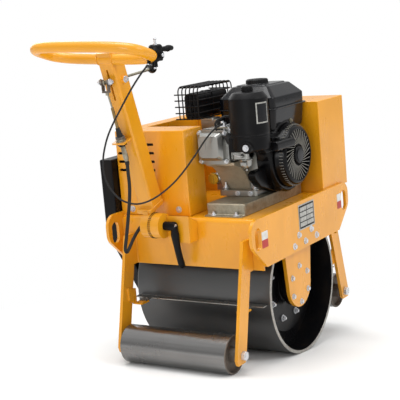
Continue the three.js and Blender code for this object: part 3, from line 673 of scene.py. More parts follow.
@dataclass(frozen=True)
class BareSteel:
    """Rolled or turned steel with marks along one direction, stains and some rust."""

    name: str
    tone: int
    rust: float = 0.15
    stretch: Point = (1, 0.02, 1)
    grain: float = 260.0
    roughness: Span = (0.28, 0.5)
    metal: float = 0.9
    contrast: float = 1.0

    def material(self) -> bpy.types.Material:
        """Builds the material."""
        nodes = Nodes(self.name)
        base = linear(self.tone)
        marks = nodes.noise(self.grain, stretch=self.stretch, detail=5)
        swing = self.contrast
        steel = nodes.ramp(marks, [(0.25, shade(base, 1 - 0.32 * swing)), (0.5, base),
                                   (0.78, shade(base, 1 + 0.35 * swing))])
        patch = nodes.noise(7, detail=9)
        stain = nodes.level(patch, (0.48, 0.7), (0.0, 0.55 * swing))
        stained = nodes.blend(stain, steel, shade(base, 0.5))
        crust = nodes.level(nodes.noise(48, detail=9), (0.54, 0.7), (0.0, self.rust))
        nodes.colour(nodes.blend(crust, stained, linear(0x6d4026)))
        nodes.rough(patch, self.roughness)
        nodes.bump(marks, 0.00012, 0.6)
        nodes.bump(nodes.noise(90, detail=6), 0.0004, 0.35)
        nodes.fixed(Metallic=self.metal)
        return nodes.material


@dataclass(frozen=True)
class Plated:
    """Zinc, brass and other plated small metal."""

    name: str
    tone: int
    tarnish: int = 0x6f6a5c
    share: float = 0.45
    roughness: Span = (0.22, 0.45)
    metal: float = 0.95

    def material(self) -> bpy.types.Material:
        """Builds the material."""
        nodes = Nodes(self.name)
        base = linear(self.tone)
        bloom = nodes.noise(55, detail=7)
        metal = nodes.ramp(bloom, [(0.35, shade(base, 0.82)), (0.6, base), (0.8, shade(base, 1.15))])
        dull = nodes.level(nodes.noise(140, detail=5), (0.45, 0.7), (0.0, self.share))
        nodes.colour(nodes.blend(dull, metal, linear(self.tarnish)))
        nodes.rough(bloom, self.roughness)
        nodes.bump(nodes.noise(900, detail=3), 0.00005)
        nodes.fixed(Metallic=self.metal)
        return nodes.material


@dataclass(frozen=True)
class Casting:
    """Sand or die-cast alloy with a pebbled skin and grime in patches."""

    name: str
    tone: int
    grain: float = 520.0
    depth: float = 0.0003
    grime: float = 0.35
    metal: float = 0.45
    roughness: Span = (0.42, 0.62)

    def material(self) -> bpy.types.Material:
        """Builds the material."""
        nodes = Nodes(self.name)
        base = linear(self.tone)
        skin = nodes.noise(self.grain, detail=4)
        alloy = nodes.ramp(skin, [(0.3, shade(base, 0.86)), (0.55, base), (0.8, shade(base, 1.12))])
        patch = nodes.level(nodes.noise(16, detail=8), (0.5, 0.72), (0.0, self.grime))
        nodes.colour(nodes.blend(patch, alloy, shade(linear(0x5b4a37), 0.8)))
        nodes.rough(patch, self.roughness, (0.0, 0.4))
        nodes.bump(skin, self.depth, 0.7)
        nodes.fixed(Metallic=self.metal)
        return nodes.material


@dataclass(frozen=True)
class Moulded:
    """Plastic or rubber: one tone, fine grain, a little dust and paler rubbed edges."""

    name: str
    tone: int
    grain: float = 900.0
    depth: float = 0.00008
    dust: float = 0.12
    roughness: Span = (0.34, 0.5)
    coat: float = 0.0
    gleam: float = 0.5

    def material(self) -> bpy.types.Material:
        """Builds the material."""
        nodes = Nodes(self.name)
        base = linear(self.tone)
        cloud = nodes.noise(9, detail=6)
        body = nodes.ramp(cloud, [(0.35, shade(base, 0.82)), (0.55, base), (0.75, shade(base, 1.25))])
        film = nodes.level(nodes.noise(34, detail=8), (0.5, 0.75), (0.0, self.dust))
        dusty = nodes.blend(film, body, shade(linear(0x8c8170), 0.55))
        rub = nodes.level(nodes.edges(0.0015), (0.3, 1.0), (0.0, 0.12))
        nodes.colour(nodes.blend(rub, dusty, shade(linear(0x8a8a8a), 0.8)))
        nodes.rough(cloud, self.roughness)
        nodes.bump(nodes.noise(self.grain, detail=3), self.depth)
        nodes.fixed(Coat_Weight=self.coat, Coat_Roughness=0.1, Specular_IOR_Level=self.gleam)
        return nodes.material


class Finish(Enum):
    """Every finish on the machine."""

    YELLOW = Enamel("yellow_enamel", 0xe29a14, wear=0.15, dust=0.05)
    LOOP = Enamel("yellow_grip_enamel", 0xe29a14, roughness=(0.3, 0.36), wear=0.0, dust=0.0, coat=0.1)
    YELLOW_WORN = Enamel("yellow_enamel_worn", 0xe09812, wear=0.4, dust=0.12)
    BLACK = Enamel("black_enamel", 0x0c0c0e, worn=0x45423e, wear=0.15, dust=0.02, coat=0.02, gleam=0.12)
    TANK = Enamel("black_gloss", 0x090b10, worn=0x45423e, roughness=(0.1, 0.18), wear=0.1, dust=0.02,
                  coat=0.12, gleam=0.2)
    DRUM = BareSteel("drum_steel", 0xa2a1a0, rust=0.02, grain=120, roughness=(0.24, 0.34), metal=0.8,
                     contrast=0.4)
    RIM = BareSteel("rim_steel", 0xa5a29c, rust=0.15, stretch=(1, 1, 1), grain=120)
    ROLLER = BareSteel("roller_steel", 0x807f7e, rust=0.02, grain=120, roughness=(0.2, 0.3), metal=0.95,
                       contrast=0.4)
    RUSTY = BareSteel("rusty_steel", 0x6a625a, rust=0.35, stretch=(1, 1, 1), grain=90,
                      roughness=(0.55, 0.8), metal=0.45)
    EDGE = BareSteel("scraped_edge", 0x9b9892, rust=0.2, roughness=(0.2, 0.38))
    ZINC = Plated("zinc_plate", 0xdadce0, share=0.2, metal=0.6)
    DULL_ZINC = Plated("dull_zinc", 0xa8a290, share=0.4, roughness=(0.38, 0.6))
    BRASS = Plated("brass_tube", 0x9a8052, tarnish=0x5a4c38)
    CAST = Casting("cast_alloy", 0xe6e4d2, grime=0.06, metal=0.0)
    SHROUD = Casting("engine_alloy", 0xab9f88, grain=380, depth=0.0004, grime=0.4, metal=0.25)
    PLASTIC = Moulded("black_moulding", 0x0a0a0c, dust=0.02, gleam=0.14)
    BRIGHT_BLACK = Moulded("black_gloss_moulding", 0x09090b, roughness=(0.16, 0.28), dust=0.02,
                           coat=0.04, gleam=0.14)
    # Pale grey for the recoil's black plastic vanes and rim ribs: a painted highlight for their sunlit edges.
    VANE = Moulded("recoil_painted_highlight", 0x8d8a82, roughness=(0.3, 0.45))
    RUBBER = Moulded("rubber", 0x09090a, grain=1400, roughness=(0.4, 0.55), dust=0.02, gleam=0.14)
    AMBER = Moulded("amber_moulding", 0xc89a24, roughness=(0.25, 0.4))
    RED = Moulded("red_moulding", 0xb3221c, roughness=(0.3, 0.42))
    WHITE = Moulded("white_film", 0xdcdcd8, roughness=(0.3, 0.45), dust=0.3)
    SILVER = Plated("silver_film", 0xc9c8c2, roughness=(0.28, 0.4))
    GASKET = Plated("copper_gasket", 0x9c6a45, tarnish=0x4f3a2c)

    @property
    def built(self) -> bpy.types.Material:
        """Its material, built once."""
        made = bpy.data.materials.get(self.value.name)
        return made if made else self.value.material()


# ---------------------------------------------------------------- geometry nodes


class Pattern(Tree):
    """A geometry tree with named inputs that ends in realised instances and one material."""

    def __init__(self, name: str, inputs: dict[str, str]) -> None:
        """Starts the tree.

        Args:
            name: the tree's name.
            inputs: each input's name and socket type.
        """
        super().__init__(bpy.data.node_groups.new(name, "GeometryNodeTree"))
        self.ids: dict[str, str] = {}
        ports = self.tree.interface
        ports.new_socket("Geometry", in_out="INPUT", socket_type="NodeSocketGeometry")
        for label, kind in {**inputs, "Finish": "NodeSocketMaterial"}.items():
            self.ids[label] = ports.new_socket(label, in_out="INPUT", socket_type=kind).identifier
        ports.new_socket("Geometry", in_out="OUTPUT", socket_type="NodeSocketGeometry")
        self.given = self.node("NodeGroupInput").outputs

    def close(self, result: bpy.types.NodeSocket) -> None:
        """Realises the instances, sets the material and ends the tree."""
        real = self.node("GeometryNodeRealizeInstances", {0: result}).outputs[0]
        coat = self.node("GeometryNodeSetMaterial", {"Geometry": real, "Material": self.given["Finish"]})
        self.node("NodeGroupOutput", {"Geometry": coat.outputs[0]})

    def grow(self, name: str, base: Shape, finish: Finish, **values: object) -> bpy.types.Object:
        """Runs the tree on a shape and returns the result as a plain object in level millimetres.

        Args:
            name: the object's name.
            base: points, lines or faces that the tree works on.
            finish: its finish.
            values: the tree's inputs by name, with underscores for spaces.

        Returns:
            The object.
        """
        made = base.to_object(name)
        run = made.modifiers.new("pattern", "NODES")
        run.node_group = self.tree
        for label, value in values.items():
            run[self.ids[label.replace("_", " ")]] = value
        run[self.ids["Finish"]] = finish.built
        settle(made)
        face_outwards(made.data)
        return made


FLOAT = "NodeSocketFloat"
COUNT = "NodeSocketInt"
VECTOR = "NodeSocketVector"


def bolt_tree() -> Pattern:
    """A washer, a hexagonal head and the end of a thread at every point, turned by one rotation."""
    tree = Pattern("bolts", {"Head Radius": FLOAT, "Head Height": FLOAT, "Washer Radius": FLOAT,
                             "Washer Height": FLOAT, "Stud": FLOAT, "Turn": VECTOR})
    given = tree.given

    def cone(sides: int, radius: bpy.types.NodeSocket, height: str, shrink: float
             ) -> bpy.types.NodeSocket:
        """A cut cone with its foot on the point."""
        sizes = {"Vertices": sides, "Radius Bottom": radius, "Depth": given[height],
                 "Radius Top": tree.math("MULTIPLY", radius, shrink)}
        return tree.node("GeometryNodeMeshCone", sizes, fill_type="NGON").outputs["Mesh"]

    def raised(mesh: bpy.types.NodeSocket, height: bpy.types.NodeSocket) -> bpy.types.NodeSocket:
        """A mesh lifted by a height."""
        lift = tree.node("ShaderNodeCombineXYZ", {"Z": height}).outputs[0]
        return tree.node("GeometryNodeTransform", {"Geometry": mesh, "Translation": lift}).outputs[0]

    washer = given["Washer Height"]
    thread = tree.math("MULTIPLY", given["Head Radius"], 0.55)
    parts = tree.node("GeometryNodeJoinGeometry")
    for part in (cone(24, given["Washer Radius"], "Washer Height", 0.96),
                 raised(cone(6, given["Head Radius"], "Head Height", 0.94), washer),
                 raised(cone(16, thread, "Stud", 1.0), tree.math("ADD", washer, given["Head Height"]))):
        tree.feed(parts.inputs[0], part)
    placed = {"Points": given["Geometry"], "Instance": parts.outputs[0], "Rotation": given["Turn"]}
    tree.close(tree.node("GeometryNodeInstanceOnPoints", placed).outputs["Instances"])
    return tree


def wire_tree() -> Pattern:
    """A round wire along every line, bent with one radius at its corners."""
    tree = Pattern("wires", {"Wire Radius": FLOAT, "Bend Radius": FLOAT, "Sides": COUNT})
    given = tree.given
    curve = tree.node("GeometryNodeMeshToCurve", {"Mesh": given["Geometry"]}).outputs["Curve"]
    bend = tree.node("GeometryNodeFilletCurve", {"Curve": curve, "Radius": given["Bend Radius"], "Count": 6,
                                                 "Limit Radius": True}, mode="POLY")
    section = tree.node("GeometryNodeCurvePrimitiveCircle",
                        {"Resolution": given["Sides"], "Radius": given["Wire Radius"]}, mode="RADIUS")
    skin = tree.node("GeometryNodeCurveToMesh", {"Curve": bend.outputs["Curve"], "Fill Caps": True,
                                                 "Profile Curve": section.outputs["Curve"]})
    tree.close(skin.outputs["Mesh"])
    return tree


def bead_tree() -> Pattern:
    """Overlapping ripples along every line, as a hand-laid weld has."""
    tree = Pattern("weld_beads", {"Bead Radius": FLOAT, "Pitch": FLOAT, "Seed": COUNT})
    given = tree.given
    curve = tree.node("GeometryNodeMeshToCurve", {"Mesh": given["Geometry"]}).outputs["Curve"]
    points = tree.node("GeometryNodeCurveToPoints", {"Curve": curve, "Length": given["Pitch"]},
                       mode="LENGTH")
    ball = tree.node("GeometryNodeMeshIcoSphere", {"Subdivisions": 2, "Radius": given["Bead Radius"]})
    size = tree.node("FunctionNodeRandomValue", {"Min": (0.85, 0.85, 0.85), "Max": (1.1, 1.1, 1.1),
                                                 "Seed": given["Seed"]}, data_type="FLOAT_VECTOR")
    placed = {"Points": points.outputs["Points"], "Instance": ball.outputs["Mesh"],
              "Scale": size.outputs["Value"]}
    tree.close(tree.node("GeometryNodeInstanceOnPoints", placed).outputs["Instances"])
    return tree


def ring_tree() -> Pattern:
    """Blocks set round the Y axis, each turned to face outwards and then swirled."""
    tree = Pattern("ring_of_blocks", {"Count": COUNT, "Radius": FLOAT, "Size": VECTOR,
                                      "Swirl": VECTOR, "Centre": VECTOR})
    given = tree.given
    circle = tree.node("GeometryNodeMeshCircle", {"Vertices": given["Count"], "Radius": given["Radius"]},
                       fill_type="NONE")
    block = tree.node("GeometryNodeMeshCube", {"Size": given["Size"]}).outputs["Mesh"]
    lean = tree.node("GeometryNodeTransform", {"Geometry": block, "Rotation": given["Swirl"]})
    place = tree.node("GeometryNodeInputPosition").outputs[0]
    face = tree.node("FunctionNodeAlignRotationToVector", {"Vector": place}, axis="X", pivot_axis="Z")
    placed = tree.node("GeometryNodeInstanceOnPoints",
                       {"Points": circle.outputs["Mesh"], "Instance": lean.outputs["Geometry"],
                        "Rotation": face.outputs["Rotation"]}).outputs["Instances"]
    upright = tree.node("GeometryNodeTransform", {"Geometry": placed, "Translation": given["Centre"],
                                                  "Rotation": (math.pi / 2, 0, 0)})
    tree.close(upright.outputs["Geometry"])
    return tree


@dataclass
class Patterns:
    """The trees that the sub-assemblies share."""

    bolts: Pattern = field(default_factory=bolt_tree)
    wires: Pattern = field(default_factory=wire_tree)
    beads: Pattern = field(default_factory=bead_tree)
    rings: Pattern = field(default_factory=ring_tree)


PATTERNS = Patterns()
QUARTER = math.pi / 2
FACING = {
    "right": (QUARTER, 0.0, 0.0),
    "left": (-QUARTER, 0.0, 0.0),
    "rear": (0.0, -QUARTER, 0.0),
    "front": (0.0, QUARTER, 0.0),
    "up": (0.0, 0.0, 0.0),
}


def bolts(name: str, points: Iterable[Sequence[float]], body: Body, facing: str, *, head: float = 8.0,
          height: float = 5.5, washer: float = 11.0, thick: float = 2.0, stud: float = 0.4,
          finish: Finish = Finish.ZINC) -> bpy.types.Object:
    """Sets hexagonal bolts on a plane.

    Args:
        name: the piece's name.
        points: the middle of each washer's underside.
        body: the body that they ride on.
        facing: the side that they face.
        head: radius of the hexagon.
        height: height of the head.
        washer: radius of the washer.
        thick: thickness of the washer.
        stud: how far the thread stands out.
        finish: their finish.

    Returns:
        The piece.
    """
    made = PATTERNS.bolts.grow(name, Shape().dots(points), finish, Head_Radius=head,
                               Head_Height=height, Washer_Radius=washer, Washer_Height=thick,
                               Stud=stud, Turn=FACING[facing])
    return finish_piece(name, made, body, finish, smooth=30, bevel=0.5)


def wires(name: str, lines: Sequence[Sequence[Sequence[float]]], body: Body, radius: float,
          bend: float, finish: Finish, *, closed: bool = False, sides: int = 10,
          stands_for: str | None = None, slot: str | None = None) -> bpy.types.Object:
    """Makes bent wires or rods along lines, as one piece.

    Args:
        name: the piece's name.
        lines: the corners of each wire.
        body: the body that they ride on.
        radius: radius of the wire.
        bend: radius of its bends.
        finish: their finish.
        closed: whether each line returns to its start.
        sides: how many flats the wire has.
        stands_for: the CAD node that they replace.
        slot: the record's material slot.

    Returns:
        The piece.
    """
    base = Shape()
    for line in lines:
        base.line(line, closed)
    made = PATTERNS.wires.grow(name, base, finish, Wire_Radius=radius, Bend_Radius=bend, Sides=sides)
    return finish_piece(name, made, body, finish, stands_for=stands_for, slot=slot, smooth=50)


def welds(name: str, lines: Sequence[Sequence[Sequence[float]]], body: Body, radius: float = 2.6,
          finish: Finish = Finish.YELLOW) -> bpy.types.Object:
    """Lays weld beads along lines, as one piece."""
    base = Shape()
    for line in lines:
        base.line(line)
    made = PATTERNS.beads.grow(name, base, finish, Bead_Radius=radius, Pitch=radius * 1.15, Seed=3)
    return finish_piece(name, made, body, finish, smooth=60)


# ---------------------------------------------------------------- chassis


@dataclass
class Chassis:
    """Deck, side plates, hangers, arms and scrapers."""

    deck_half: float = 246.5
    plate_inner: float = 242.0
    hanger_outer: float = 224.0
    plate_bolts: tuple[Flat, ...] = ((-41, 375), (42, 376), (75, 350), (-1, 348), (-73, 347))
    sheet_edge: float = 1.2
    plate_edge: float = 1.6

    def skins(self) -> None:
        """Bent and cut plates, with their edges eased."""
        plates = {"deck": self.sheet_edge, "side_plate_left": self.plate_edge,
                  "side_plate_right": self.plate_edge, "hanger_left": 1.0, "hanger_right": 1.0,
                  "arm_rear_left": 1.2, "arm_rear_right": 1.2, "arm_front_left": 1.2,
                  "arm_front_right": 1.2}
        for node, edge in plates.items():
            finish_node(node, "painted", Finish.YELLOW_WORN, "yellow_paint", edge)

    def scrapers(self) -> None:
        """Scraper strips with bright edges."""
        for node in ("scraper_rear", "scraper_front"):
            finish_node(node, "strip", Finish.EDGE, "drum_steel", 0.5)
        ends = [(sign * 256, side * y, 206.3) for sign in (-1, 1) for side in (-1, 1) for y in (172, 184)]
        bolts("scraper_bolts", ends, Body.FRAME, "up", head=4.5, height=3.5, washer=6, thick=1,
              finish=Finish.RUSTY)

    def flanges(self) -> None:
        """Bearing flanges with a ring of bolts and a shallow recess in the middle."""
        for side, name in ((1, "left"), (-1, "right")):
            face = side * 211.7
            out = Shape()
            out.lathe([(0, 160 * side), (30, 160 * side), (30, 190 * side), (42, 190 * side),
                       (42, 195 * side), (67, 195 * side), (67, face - 1.5 * side),
                       (65.5, face), (40, face), (38, face - 2 * side), (0, face - 2 * side)],
                      (0, 0, MACHINE.drum_radius), segments=64)
            finish_piece("bearing_flange_" + name + "_turned", out, Body.FRAME, Finish.BLACK,
                         stands_for="bearing_flange_" + name, slot="black_paint", smooth=30)
            ring = around((0, side * self.hanger_outer, MACHINE.drum_radius), 56.5, Axis.Y, turns(6, 30))
            bolts("hanger_bolts_" + name, ring, Body.FRAME, name, head=7, height=5, washer=9.5,
                  thick=1.6)

    def fasteners(self) -> None:
        """Bolts through the side plates."""
        face = MACHINE.plate_outer
        bolts("plate_bolts_right", [(x, -face, z) for x, z in self.plate_bolts], Body.FRAME, "right",
              head=7.5, height=5, washer=10.5)
        bolts("plate_bolts_left", [(x, face, z) for x, z in ((150, 350), (178, 376))], Body.FRAME,
              "left", head=7.5, height=5, washer=10.5)

    def welds(self) -> None:
        """Beads where deck, plates and arms meet."""
        y = self.plate_inner - 1.2
        top = MACHINE.deck_top
        lines = []
        for side in (-1, 1):
            lines.append([(-232, side * y, top), (232, side * y, top)])
            for end in (-1, 1):
                x = end * (self.deck_half + 0.3)
                lines.append([(x, side * y, 452), (x, side * y, 330)])
                lines.append([(x, side * 197.6, 408), (x, side * 197.6, 320)])
        welds("deck_welds", lines, Body.FRAME, 2.4)

    def signs(self) -> None:
        """A blank rating plate and two plain two-tone films on the right side plate."""
        face = -MACHINE.plate_outer
        plate = Shape().prism(rounded((-35, 70), (386, 463), 3), Axis.Y, (face - 0.8, face))
        plate.prism(rounded((-31, 66), (390, 459), 2), Axis.Y, (face - 1.0, face - 0.6), 1)
        for column in range(2):
            for row in range(4):
                x = -27 + column * 46
                z = 395 + row * 15.5
                plate.prism(rounded((x, x + 43), (z, z + 12.5), 1), Axis.Y, (face - 1.2, face - 0.8))
        finish_piece("rating_plate", plate, Body.FRAME, Finish.SILVER, Finish.PLASTIC)
        films = Shape()
        for (x0, x1), (z0, z1) in (((-266, -231), (386, 433)), ((237, 266), (397, 444))):
            middle = (z0 + z1) / 2
            films.prism(rounded((x0, x1), (middle, z1), 1.5), Axis.Y, (face - 0.5, face))
            films.prism(rounded((x0, x1), (z0, middle - 0.4), 1.5), Axis.Y, (face - 0.5, face), 1)
        finish_piece("plain_films", films, Body.FRAME, Finish.WHITE, Finish.RED)

    def build(self) -> None:
        """Makes every piece."""
        self.skins()
        self.scrapers()
        self.flanges()
        self.fasteners()
        self.welds()
        self.signs()


@dataclass
class Covers:
    """Folded sheet covers round the drive, and the belt guard."""

    base: float = 464.3
    fold: float = 2.6
    sheet: float = 3.0

    def box(self, node: str, x: Span, y: Span, top: float, holes: Shape | None = None) -> None:
        """One cover folded from sheet, open below, cut away over the side plate."""
        skin = bevelled(Shape().box(x, y, (self.base, top)).to_object(node), self.fold, 3)
        wall = self.sheet
        hollow = Shape().box((x[0] + wall, x[1] - wall), (y[0] + wall, y[1] - wall), (400, top - wall))
        carved(skin, hollow)
        carved(skin, Shape().box((x[0] - 9, x[1] + 9), (241.7, 252.2), (400, 474.3)))
        if holes:
            carved(skin, holes)
        finish_piece(node + "_painted", skin, Body.FRAME, Finish.YELLOW, stands_for=node,
                     slot="yellow_paint")

    def skins(self) -> None:
        """The covers themselves."""
        vents = Shape()
        for y in (132, 224):
            for row in range(4):
                z = 679 - 25.8 * row
                vents.loft([(rounded((y - 20, y + 20), (z - 4, z + 4), 2.5, 3), x) for x in (-240, -228)],
                           Axis.X)
        self.box("rear_cover", (-234, -134), (2, 250), 720, vents)
        self.box("side_cover", (-133.7, 165.7), (200, 250), 720)
        self.box("front_cover", (166, 346), (-241.7, 250), 752)
        finish_node("belt_guard", "painted", Finish.BLACK, "black_paint", 5, 4)

    def lining(self) -> None:
        """A dark sheet behind the vents: painted shade for the shaded inside of the cover."""
        sheet = Shape().box((-227, -225), (8, 244), (590, 692))
        finish_piece("vent_shade_sheet", sheet, Body.FRAME, Finish.PLASTIC, bevel=0.3)

    def fasteners(self) -> None:
        """Bolts in the covers' feet and round the belt guard."""
        bolts("cover_bolts_rear", [(-234, 208.7, 482), (-234, 40, 484)], Body.FRAME, "rear",
              head=7, height=5, washer=10)
        bolts("cover_bolts_front", [(346, y, 484) for y in (-200, 0, 200)], Body.FRAME, "front",
              head=7, height=5, washer=10)
        corners = ((-240, 616), (96, 616), (-240, 430), (96, 250), (-90, 616))
        guard = [(x, 298.3, z) for x, z in corners]
        bolts("guard_bolts", guard, Body.FRAME, "left", head=6, height=4.5, washer=9)

    def build(self) -> None:
        """Makes every piece."""
        self.skins()
        self.lining()
        self.fasteners()


# ---------------------------------------------------------------- rolling parts


@dataclass
class Drum:
    """Smooth drum with its webs and studs."""

    radius: float = 212.5
    half: float = 235.0
    wall: float = 10.0
    stud_ring: float = 110.0
    web: float = 177.7

    def shell(self) -> None:
        """Rolled shell with eased, brighter rims."""
        r, h, inner = self.radius, self.half, self.radius - self.wall
        profile = [(inner, -h + 1), (inner + 1, -h), (r - 2, -h), (r - 0.6, -h + 0.6), (r, -h + 2),
                   (r, h - 2), (r - 0.6, h - 0.6), (r - 2, h), (inner + 1, h), (inner, h - 1),
                   (inner, -h + 1)]
        shares = [1, 1, 1, 1, 0, 1, 1, 1, 1, 2]
        shell = Shape().lathe(profile, (0, 0, r), segments=192, shares=shares)
        finish_piece("drum_shell_rolled", shell, Body.DRUM,
                     Finish.DRUM, Finish.RIM, Finish.BLACK, stands_for="drum_shell",
                     slot="drum_steel", smooth=50)

    def core(self) -> None:
        """Dished webs, raised discs and hubs."""
        half = [(0, 107.7), (30.5, 107.7), (30.5, 185.7), (31.5, 186.7), (53.5, 186.7), (55, 185.2),
                (55, 180.5), (58, 177.7), (150, 177.7), (151.6, 176), (151.6, 171.7), (111.5, 171.7),
                (111.5, 162), (114, 159.7), (202.2, 159.7), (202.2, 151.7)]
        other = [(radius, -y) for radius, y in reversed(half)]
        core = Shape().lathe(half + other, (0, 0, self.radius), segments=96)
        finish_piece("drum_core_welded", core, Body.DRUM, Finish.BLACK,
                     stands_for="drum_core", slot="black_paint", smooth=40)

    def studs(self) -> None:
        """Nuts on the webs."""
        for side, name in ((1, "left"), (-1, "right")):
            ring = around((0, side * self.web, self.radius), self.stud_ring, Axis.Y, turns(8, 22.5))
            bolts("drum_studs_" + name, ring, Body.DRUM, name, head=8, height=6, washer=11,
                  stud=4)

    def build(self) -> None:
        """Makes every piece."""
        self.shell()
        self.core()
        self.studs()


@dataclass
class Roller:
    """Small support roller at one end."""

    body: Body
    end: int
    reach: float = 346.0
    height: float = 93.0
    radius: float = 57.0
    half: float = 181.0

    def build(self) -> None:
        """Tube with eased rims, end discs and hubs."""
        name = self.body.value
        centre = (self.end * self.reach, 0, self.height)
        r, h, inner = self.radius, self.half, self.radius - 5
        tube = Shape().lathe([(inner, -h), (r - 1.5, -h), (r, -h + 1.5), (r, h - 1.5), (r - 1.5, h),
                              (inner, h), (inner, -h)], centre, segments=96, shares=[1, 1, 0, 1, 1, 1])
        finish_piece(name + "_tube_rolled", tube, self.body, Finish.ROLLER, Finish.RUSTY,
                     stands_for=name + "_tube", slot="drum_steel", smooth=45)
        end = [(10.5, 194), (12, 195), (20.5, 195), (22, 193.5), (22, 170), (24, 168), (51.7, 167),
               (51.7, 159), (22, 159)]
        profile = end + [(radius, -y) for radius, y in reversed(end)]
        core = Shape().lathe(profile + profile[:1], centre, segments=56)
        finish_piece(name + "_core_turned", core, self.body, Finish.RUSTY,
                     stands_for=name + "_core", slot="drum_steel", smooth=40)
        axle = "axle_rear" if self.end < 0 else "axle_front"
        finish_node(axle, "bolt", Finish.ZINC, "zinc", 0.8)


# ---------------------------------------------------------------- engine


@dataclass
class Engine:
    """Single-cylinder engine: cast block, black housings, tank, filter and muffler."""

    crank: Flat = (30.0, 607.0)
    cover_y: Span = (-106.0, -1.0)
    cover_z: Span = (609.0, 711.0)
    filter_at: Flat = (-152.0, -176.0)
    stud_x: Flat = (-78.0, 98.0)
    stud_y: Flat = (-136.0, -34.0)
    bowl: Point = (-140.0, -148.0, 0.0)
    filter_boss: Point = (-214.0, -192.0, 664.0)

    def mount(self) -> None:
        """Zinc channel, its bolts and the engine's foot."""
        finish_node("engine_mount", "channel", Finish.DULL_ZINC, "zinc", 1.6)
        bend = [(-229, 464.4), (-229, 467.8), (-213, 467.8), (-210.4, 470.4), (-210.4, 497),
                (-207, 500.4), (-150, 500.4), (-150, 499.8), (-206.2, 499.8), (-206.2, 464.4)]
        bracket = Shape().prism(bend, Axis.Y, (-171, -45))
        finish_piece("mount_bracket", bracket, Body.FRAME, Finish.DULL_ZINC, bevel=1.2, segments=3)
        bolts("mount_bolts", [(-219, -70, 467.8), (-219, -146, 467.8)], Body.FRAME, "up", head=6.5,
              height=5, washer=9, thick=1.6, stud=4)
        studs = [(x, y, 522.3) for x in self.stud_x for y in self.stud_y]
        bolts("foot_studs", studs, Body.FRAME, "up", head=6.5, height=6, washer=9.5, stud=9)

    def block(self) -> None:
        """Foot, crankcase, finned cylinder, exhaust port and shaft."""
        y0, y1 = -148, 10
        cast = Shape()
        cast.prism(rounded((-95, 118), (y0, -20), 7), Axis.Z, (500.3, 518))
        for x in self.stud_x:
            for y in self.stud_y:
                cast.lathe([(0, 515), (12, 515), (12, 522), (0, 522)], (x, y, 0), Axis.Z, 24)
        case = [(-62, 512), (106, 512), (106, 660), (80, 685), (-40, 685), (-62, 660)]
        cast.prism(case, Axis.Y, (y0 + 2, y1 - 3))
        cast.prism(arc((22, 600), 78, 0, 360, 40)[:-1], Axis.Y, (y1 - 5, y1))
        cast.rod((-66, 10, 549), (-50, -4, 549), 15, 22, 28, 0)
        for x in (-50, -20, 62, 92):
            cast.box((x - 2.5, x + 2.5), (y1 - 5, y1), (512, 560))
        cast.box((-78, -38), (-20, 36), (690, 733))
        cast.prism(rounded((-80, -36), (-10, 38), 6), Axis.Z, (728, 736))
        cast.lathe([(0, 0), (30, 0), (32, 2), (32, 58), (30, 60), (0, 60)], (30, 0, 607), Axis.Y, 40)
        core = [(-149, 622), (-56, 580), (-6, 660), (-6, 679), (-60, 679), (-72, 706), (-149, 706)]
        cast.prism(core, Axis.Y, (-104, -12))
        for step in range(9):
            x = -143 + step * 8.2
            low = 614 - max(0, (x + 120) * 0.28)
            cast.prism(rounded((-113, -3), (low, 712), 9), Axis.X, (x, x + 2.6))
        shield = [(-151, 612), (-150, 603), (-132, 597), (-112, 590), (-90, 572), (-74, 548),
                  (-66, 524), (-63, 512), (-50, 512), (-50, 600), (-60, 611)]
        cast.prism(shield, Axis.Y, (-112, -14), 1)
        finish_piece("engine_block_cast", cast, Body.FRAME, Finish.CAST, Finish.SHROUD,
                     stands_for="engine_block", slot="cast_alloy", bevel=2.2, segments=3)
        filler = Shape().lathe([(0, 0), (9, 0), (9, -6), (16, -7), (17, -8), (17, -16), (15.5, -17.5),
                                (0, -17.5)], (-62, 10, 549), Axis.X, 32)
        for x, y, z in around((-79, 10, 549), 16.6, Axis.X, turns(12)):
            filler.rod((x, y, z), (x + 8.5, y, z), 1.8, sides=8)
        filler.box((-84, -79), (7, 13), (537, 561))
        finish_piece("oil_filler_cap", filler, Body.FRAME, Finish.AMBER, bevel=0.5)
        bolts("drain_bolts", [(-95, -84, 509), (-95, -128, 509)], Body.FRAME, "rear", head=6, height=6,
              washer=8.5, thick=2.5)
        heads = around((22, 10, 600), 70, Axis.Y, turns(8, 20))
        bolts("case_bolts", heads, Body.FRAME, "left", head=4.5, height=5, washer=6, thick=1)

    def valve_cover(self) -> None:
        """Chamfered dome on a square flange, with a gasket behind it."""
        (y0, y1), (z0, z1) = self.cover_y, self.cover_z
        cover = Shape()
        cover.prism(rounded((y0, y1), (z0, z1), 11, 6), Axis.X, (-164, -150.3))
        rings = []
        for x, inset, drop in ((-163.5, 10, 1), (-178, 11, 2), (-193, 19, 4)):
            low = z0 + inset + drop
            rings.append((rounded((y0 + inset, y1 - inset), (low, z1 - inset + 4), 12, 3), x))
        cover.loft(rings, Axis.X, 0)
        for y in (y0 + 42, y1 - 42):
            cover.prism(rounded((y - 3, y + 3), (z0 + 46, z1 - 32), 3), Axis.X, (-194.6, -191))
        corners = [(y, z) for y in (y0 + 9, y1 - 9) for z in (z0 + 9, z1 - 9)]
        for y, z in corners:
            cover.lathe([(0, -150.5), (8.5, -150.5), (8.5, -166), (7.5, -167), (0, -167)], (0, y, z),
                        Axis.X, 24, 0)
        finish_piece("valve_cover_cast", cover, Body.FRAME, Finish.CAST,
                     stands_for="valve_cover", slot="cast_alloy", bevel=1.4, smooth=24)
        gasket = Shape().prism(rounded((y0 + 1, y1 - 1), (z0 + 1, z1 - 1), 11, 6), Axis.X, (-150.2, -149.2))
        finish_piece("valve_gasket", gasket, Body.FRAME, Finish.GASKET)
        bolts("valve_cover_bolts", [(-167, y, z) for y, z in corners], Body.FRAME, "rear", head=5,
              height=5.5, washer=6.8, thick=1.2)

